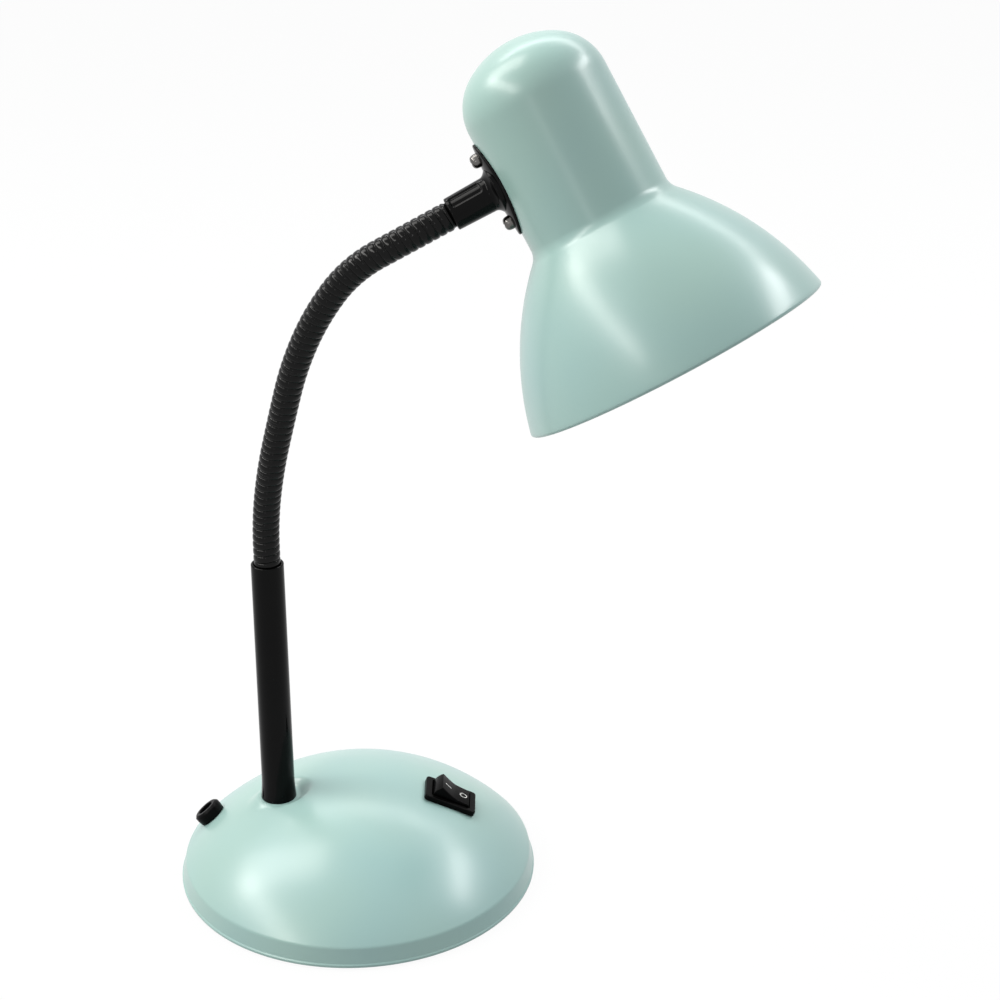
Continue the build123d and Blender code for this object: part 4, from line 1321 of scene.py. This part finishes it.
    def flange(self) -> Piece:
        """Build the saddle flange: an oval laid on the housing's cylinder.

        A point at oval place (u, v) stands at reach sqrt(R^2 - u^2), with R the housing's radius
        plus the height of the oval's own rounded section, which thins with the square of the
        distance from its middle.
        """
        thick, long = self.flange_thickness, self.flange_half_length
        section = rounded(
            [(0.0, SEAT_GAP), (long, SEAT_GAP), (long, thick), (0.0, thick)],
            np.array([0.0, 0.3, 0.8, 0.0]) * MM,
            7,
            closed=False,
        )
        under = np.linspace(section[0], section[1], self.flat_steps)[:-1]
        over = np.linspace(section[-2], section[-1], self.flat_steps)[1:]
        section = np.concatenate([under, section[1:-1], over])
        points, faces = revolved(section, UPRIGHT, self.collar_steps)
        across = points[:, 0] * self.flange_half_width / long
        thinned = 1.0 - self.flange_thinning * (points[:, 0] ** 2 + points[:, 1] ** 2) / long**2
        stand = np.sqrt((self.housing_radius + points[:, 2] * thinned) ** 2 - across**2)
        placed = self.collar_placing().at(across, points[:, 1], stand)
        return Shape().add(placed, faces).piece("collar_flange")

    def screw_heads(self) -> Piece:
        """Build two pan heads: a low dome with a rounded edge and a cross cut into its top.

        The top's height is h (1 - fall (r/R)^2) with a soft edge, less a tapering cross-shaped cut.
        """
        shape = Shape()
        stand = self.collar_placing()
        steps = self.screw_steps
        angle = round_angles(steps)
        share = np.linspace(0.03, 1.0, self.screw_rows)[:, None]
        radius = self.screw_radius * share
        arm = np.minimum(np.abs(np.cos(angle)), np.abs(np.sin(angle)))[None, :] * radius
        cut = smooth_step((self.cross_half_width - arm) / self.cross_edge)
        cut = cut * smooth_step((self.cross_reach - radius) / self.cross_end)
        top = self.screw_height * (1.0 - self.screw_fall * share**2)
        height = top * np.sqrt(np.maximum(1.0 - share**self.screw_edge, 0.0)) - self.cross_depth * cut
        face = self.housing_radius + self.flange_thickness
        rise = face + np.concatenate([height, np.full((1, steps), -self.screw_sink)])
        rows = np.concatenate([np.broadcast_to(radius, height.shape), np.full((1, steps), self.screw_radius)])
        ring = np.arange(steps)
        faces = [
            grid_faces(len(rows), steps, False),
            fan_faces(rows.size, ring[::-1]),
            fan_faces(rows.size + 1, ring + rows.size - steps),
        ]
        ends = np.array([face + float(height[0].mean()), face - self.screw_sink])
        for place in (self.screw_spread, -self.screw_spread):
            points = stand.at(rows * np.cos(angle), place + rows * np.sin(angle), rise).reshape(-1, 3)
            shape.add(np.concatenate([points, stand.at(0.0, place, ends)]), faces)
        return shape.piece("flange_screws", 60.0)

    def build(self) -> None:
        """Build and dress the head."""
        settle(self.shade(), Finish.MINT, "head", "mint_paint", "shade")
        settle(self.barrel(), Finish.SLEEVE, "head", "black_plastic", "neck_collar")
        settle(self.flange(), Finish.SLEEVE, "head", "black_plastic")
        settle(self.screw_heads(), Finish.SCREW, "head", "dark_screw", "collar_screws")


@dataclass
class KeptSolids:
    """Solids whose shape is right as it is, by the finish that they get."""

    finishes: dict[Finish, tuple[str, ...]] = field(default_factory=lambda: {
        Finish.PLATE: ("bottom_plate",),
        Finish.IRON: ("base_weight",),
        Finish.FOAM: ("base_pad",),
        Finish.PLASTIC: ("bush_nut", "switch_housing"),
        Finish.CORE: ("switch_core", "head_core_1", "head_core_2"),
        Finish.STEEL: ("weight_rivets", "base_screws", "neck_nipple", "nipple_washer", "nipple_nut",
                       "head_bracket", "holder_screws"),
        Finish.BRASS: ("switch_terminals", "holder_thread", "holder_contact", "bulb_contact"),
        Finish.HOLDER: ("lampholder",),
        Finish.CAP: ("bulb_cap",),
        Finish.OPAL: ("bulb_globe",),
        Finish.JACKET: tuple(f"neck_lead_{number}" for number in range(1, 10)),
    })

    def build(self) -> None:
        """Dress every solid that is shown."""
        for finish, names in self.finishes.items():
            for name in names:
                WARDROBE.dress(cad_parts[name], finish)
                LOG.info("%s: dressed as %s", name, finish.value.name)


@dataclass(frozen=True)
class SoftBox:
    """One soft light: where it hangs, what it points at, its size, power and colour."""

    name: str
    place: Triple
    aim: Triple
    size: Pair
    power: float
    colour: Triple


@dataclass
class Studio:
    """Pale floor, soft lights, plain surroundings and the camera."""

    lens: float = 71.94
    camera_place: Triple = (0.056443, -0.678660, 0.450888)
    camera_tilt: float = math.radians(66.727)
    sensor: float = 36.0
    clip: Pair = (0.01, 50.0)
    floor_reach: float = 6.0
    floor_tones: tuple[Colour, Colour] = ((0.33, 0.33, 0.33, 1.0), (0.37, 0.37, 0.37, 1.0))
    floor_patches: float = 3.0
    floor_roughness: float = 0.9
    floor_glow: float = 1.08
    floor_share: float = 0.88
    surroundings: float = 0.32
    surroundings_tone: Colour = (0.9, 0.965, 1.0, 1.0)
    boxes: tuple[SoftBox, ...] = (
        SoftBox("left_box", (-0.95, -0.38, 0.94), (0.05, -0.03, 0.25), (1.5, 0.2), 9.0, (1.0, 0.985, 0.95)),
        SoftBox("over_box", (-0.8, 0.2, 1.2), (0.0, 0.0, 0.1), (0.5, 1.0), 9.5, (1.0, 0.985, 0.95)),
        SoftBox("right_box", (1.08, 0.25, 1.08), (0.05, -0.03, 0.2), (0.75, 0.22), 7.0, (1.0, 1.0, 1.0)),
        SoftBox("back_box", (0.1, 0.82, 1.18), (0.05, -0.03, 0.25), (1.8, 0.2), 7.0, (1.0, 1.0, 1.0)),
        SoftBox("front_box", (-0.23, -1.36, 0.54), (0.05, -0.03, 0.25), (0.06, 0.3), 0.5, (1.0, 1.0, 1.0)),
    )

    def floor(self) -> None:
        """Lay the floor: pale, and bright to the camera, with the lamp's shadow left on it."""
        reach = self.floor_reach
        corners = np.pad(rectangle(-reach, reach, -reach, reach), ((0, 0), (0, 1)))
        mesh = bpy.data.meshes.new("floor")
        mesh.from_pydata(corners.tolist(), [], [[0, 1, 2, 3]])
        made = bpy.data.objects.new("floor", mesh)
        bpy.context.scene.collection.objects.link(made)
        material, board, shader, where = new_material("pale_floor")
        tone = board.mix(board.noise(where, self.floor_patches), *self.floor_tones)
        board.feed_all(shader, Base_Color=tone, Roughness=self.floor_roughness)
        glow = board.add("ShaderNodeEmission", Color=WHITE, Strength=self.floor_glow)
        blend = board.add("ShaderNodeMixShader")
        board.feed(blend, 0, board.math("MULTIPLY", self.seen(board), self.floor_share))
        board.feed(blend, 1, shader.outputs[0])
        board.feed(blend, 2, glow.outputs[0])
        board.feed(material.node_tree.nodes["Material Output"], "Surface", blend.outputs[0])
        mesh.materials.append(material)

    def seen(self, board: NodeBoard) -> Socket:
        """Return 1 for rays from the camera, from gloss and through glass."""
        path = board.add("ShaderNodeLightPath").outputs
        gloss = board.math("MAXIMUM", path["Is Glossy Ray"], path["Is Transmission Ray"])
        return board.math("MAXIMUM", path["Is Camera Ray"], gloss)

    def world(self) -> None:
        """Set even pale surroundings that the camera sees as white."""
        world = bpy.data.worlds.new("surroundings")
        bpy.context.scene.world = world
        world.use_nodes = True
        board = NodeBoard(world.node_tree)
        background = world.node_tree.nodes["Background"]
        seen = self.seen(board)
        strength = board.span(seen, 0.0, 1.0, self.surroundings, 1.0)
        board.feed_all(background, Color=board.mix(seen, self.surroundings_tone, WHITE), Strength=strength)

    def light(self, box: SoftBox) -> None:
        """Hang one soft light.

        Args:
            box: the light's place, aim, size, power and colour.
        """
        data = bpy.data.lights.new(box.name, "AREA")
        data.shape = "RECTANGLE"
        data.size, data.size_y = box.size
        data.energy = box.power
        data.color = box.colour
        made = bpy.data.objects.new(box.name, data)
        back = unit(np.array(box.place) - np.array(box.aim))
        right = unit(np.cross(UP, back))
        columns = np.eye(4)
        columns[:, :3] = right, np.cross(back, right), back, box.place
        made.matrix_world = columns.tolist()
        bpy.context.scene.collection.objects.link(made)

    def camera(self) -> None:
        """Set up the camera in front of the lamp, looking down on it."""
        data = bpy.data.cameras.new("camera")
        data.lens = self.lens
        data.sensor_width = self.sensor
        data.clip_start, data.clip_end = self.clip
        made = bpy.data.objects.new("camera", data)
        made.location = self.camera_place
        made.rotation_euler = (self.camera_tilt, 0.0, 0.0)
        bpy.context.scene.collection.objects.link(made)
        bpy.context.scene.camera = made

    def build(self) -> None:
        """Set up the whole studio."""
        bpy.context.scene.view_settings.view_transform = "Standard"
        self.floor()
        self.world()
        for box in self.boxes:
            self.light(box)
        self.camera()


def main() -> None:
    """Build the lamp and its studio, piece by piece."""
    logging.basicConfig(level=logging.INFO, format="%(name)s %(message)s")
    EFFECTS.build()
    Studio().build()
    base = Base()
    switch = Switch(base)
    neck = Neck(base)
    base.build(switch)
    switch.build()
    neck.build()
    Head(neck).build()
    KeptSolids().build()


if __name__ == "__main__":
    main()
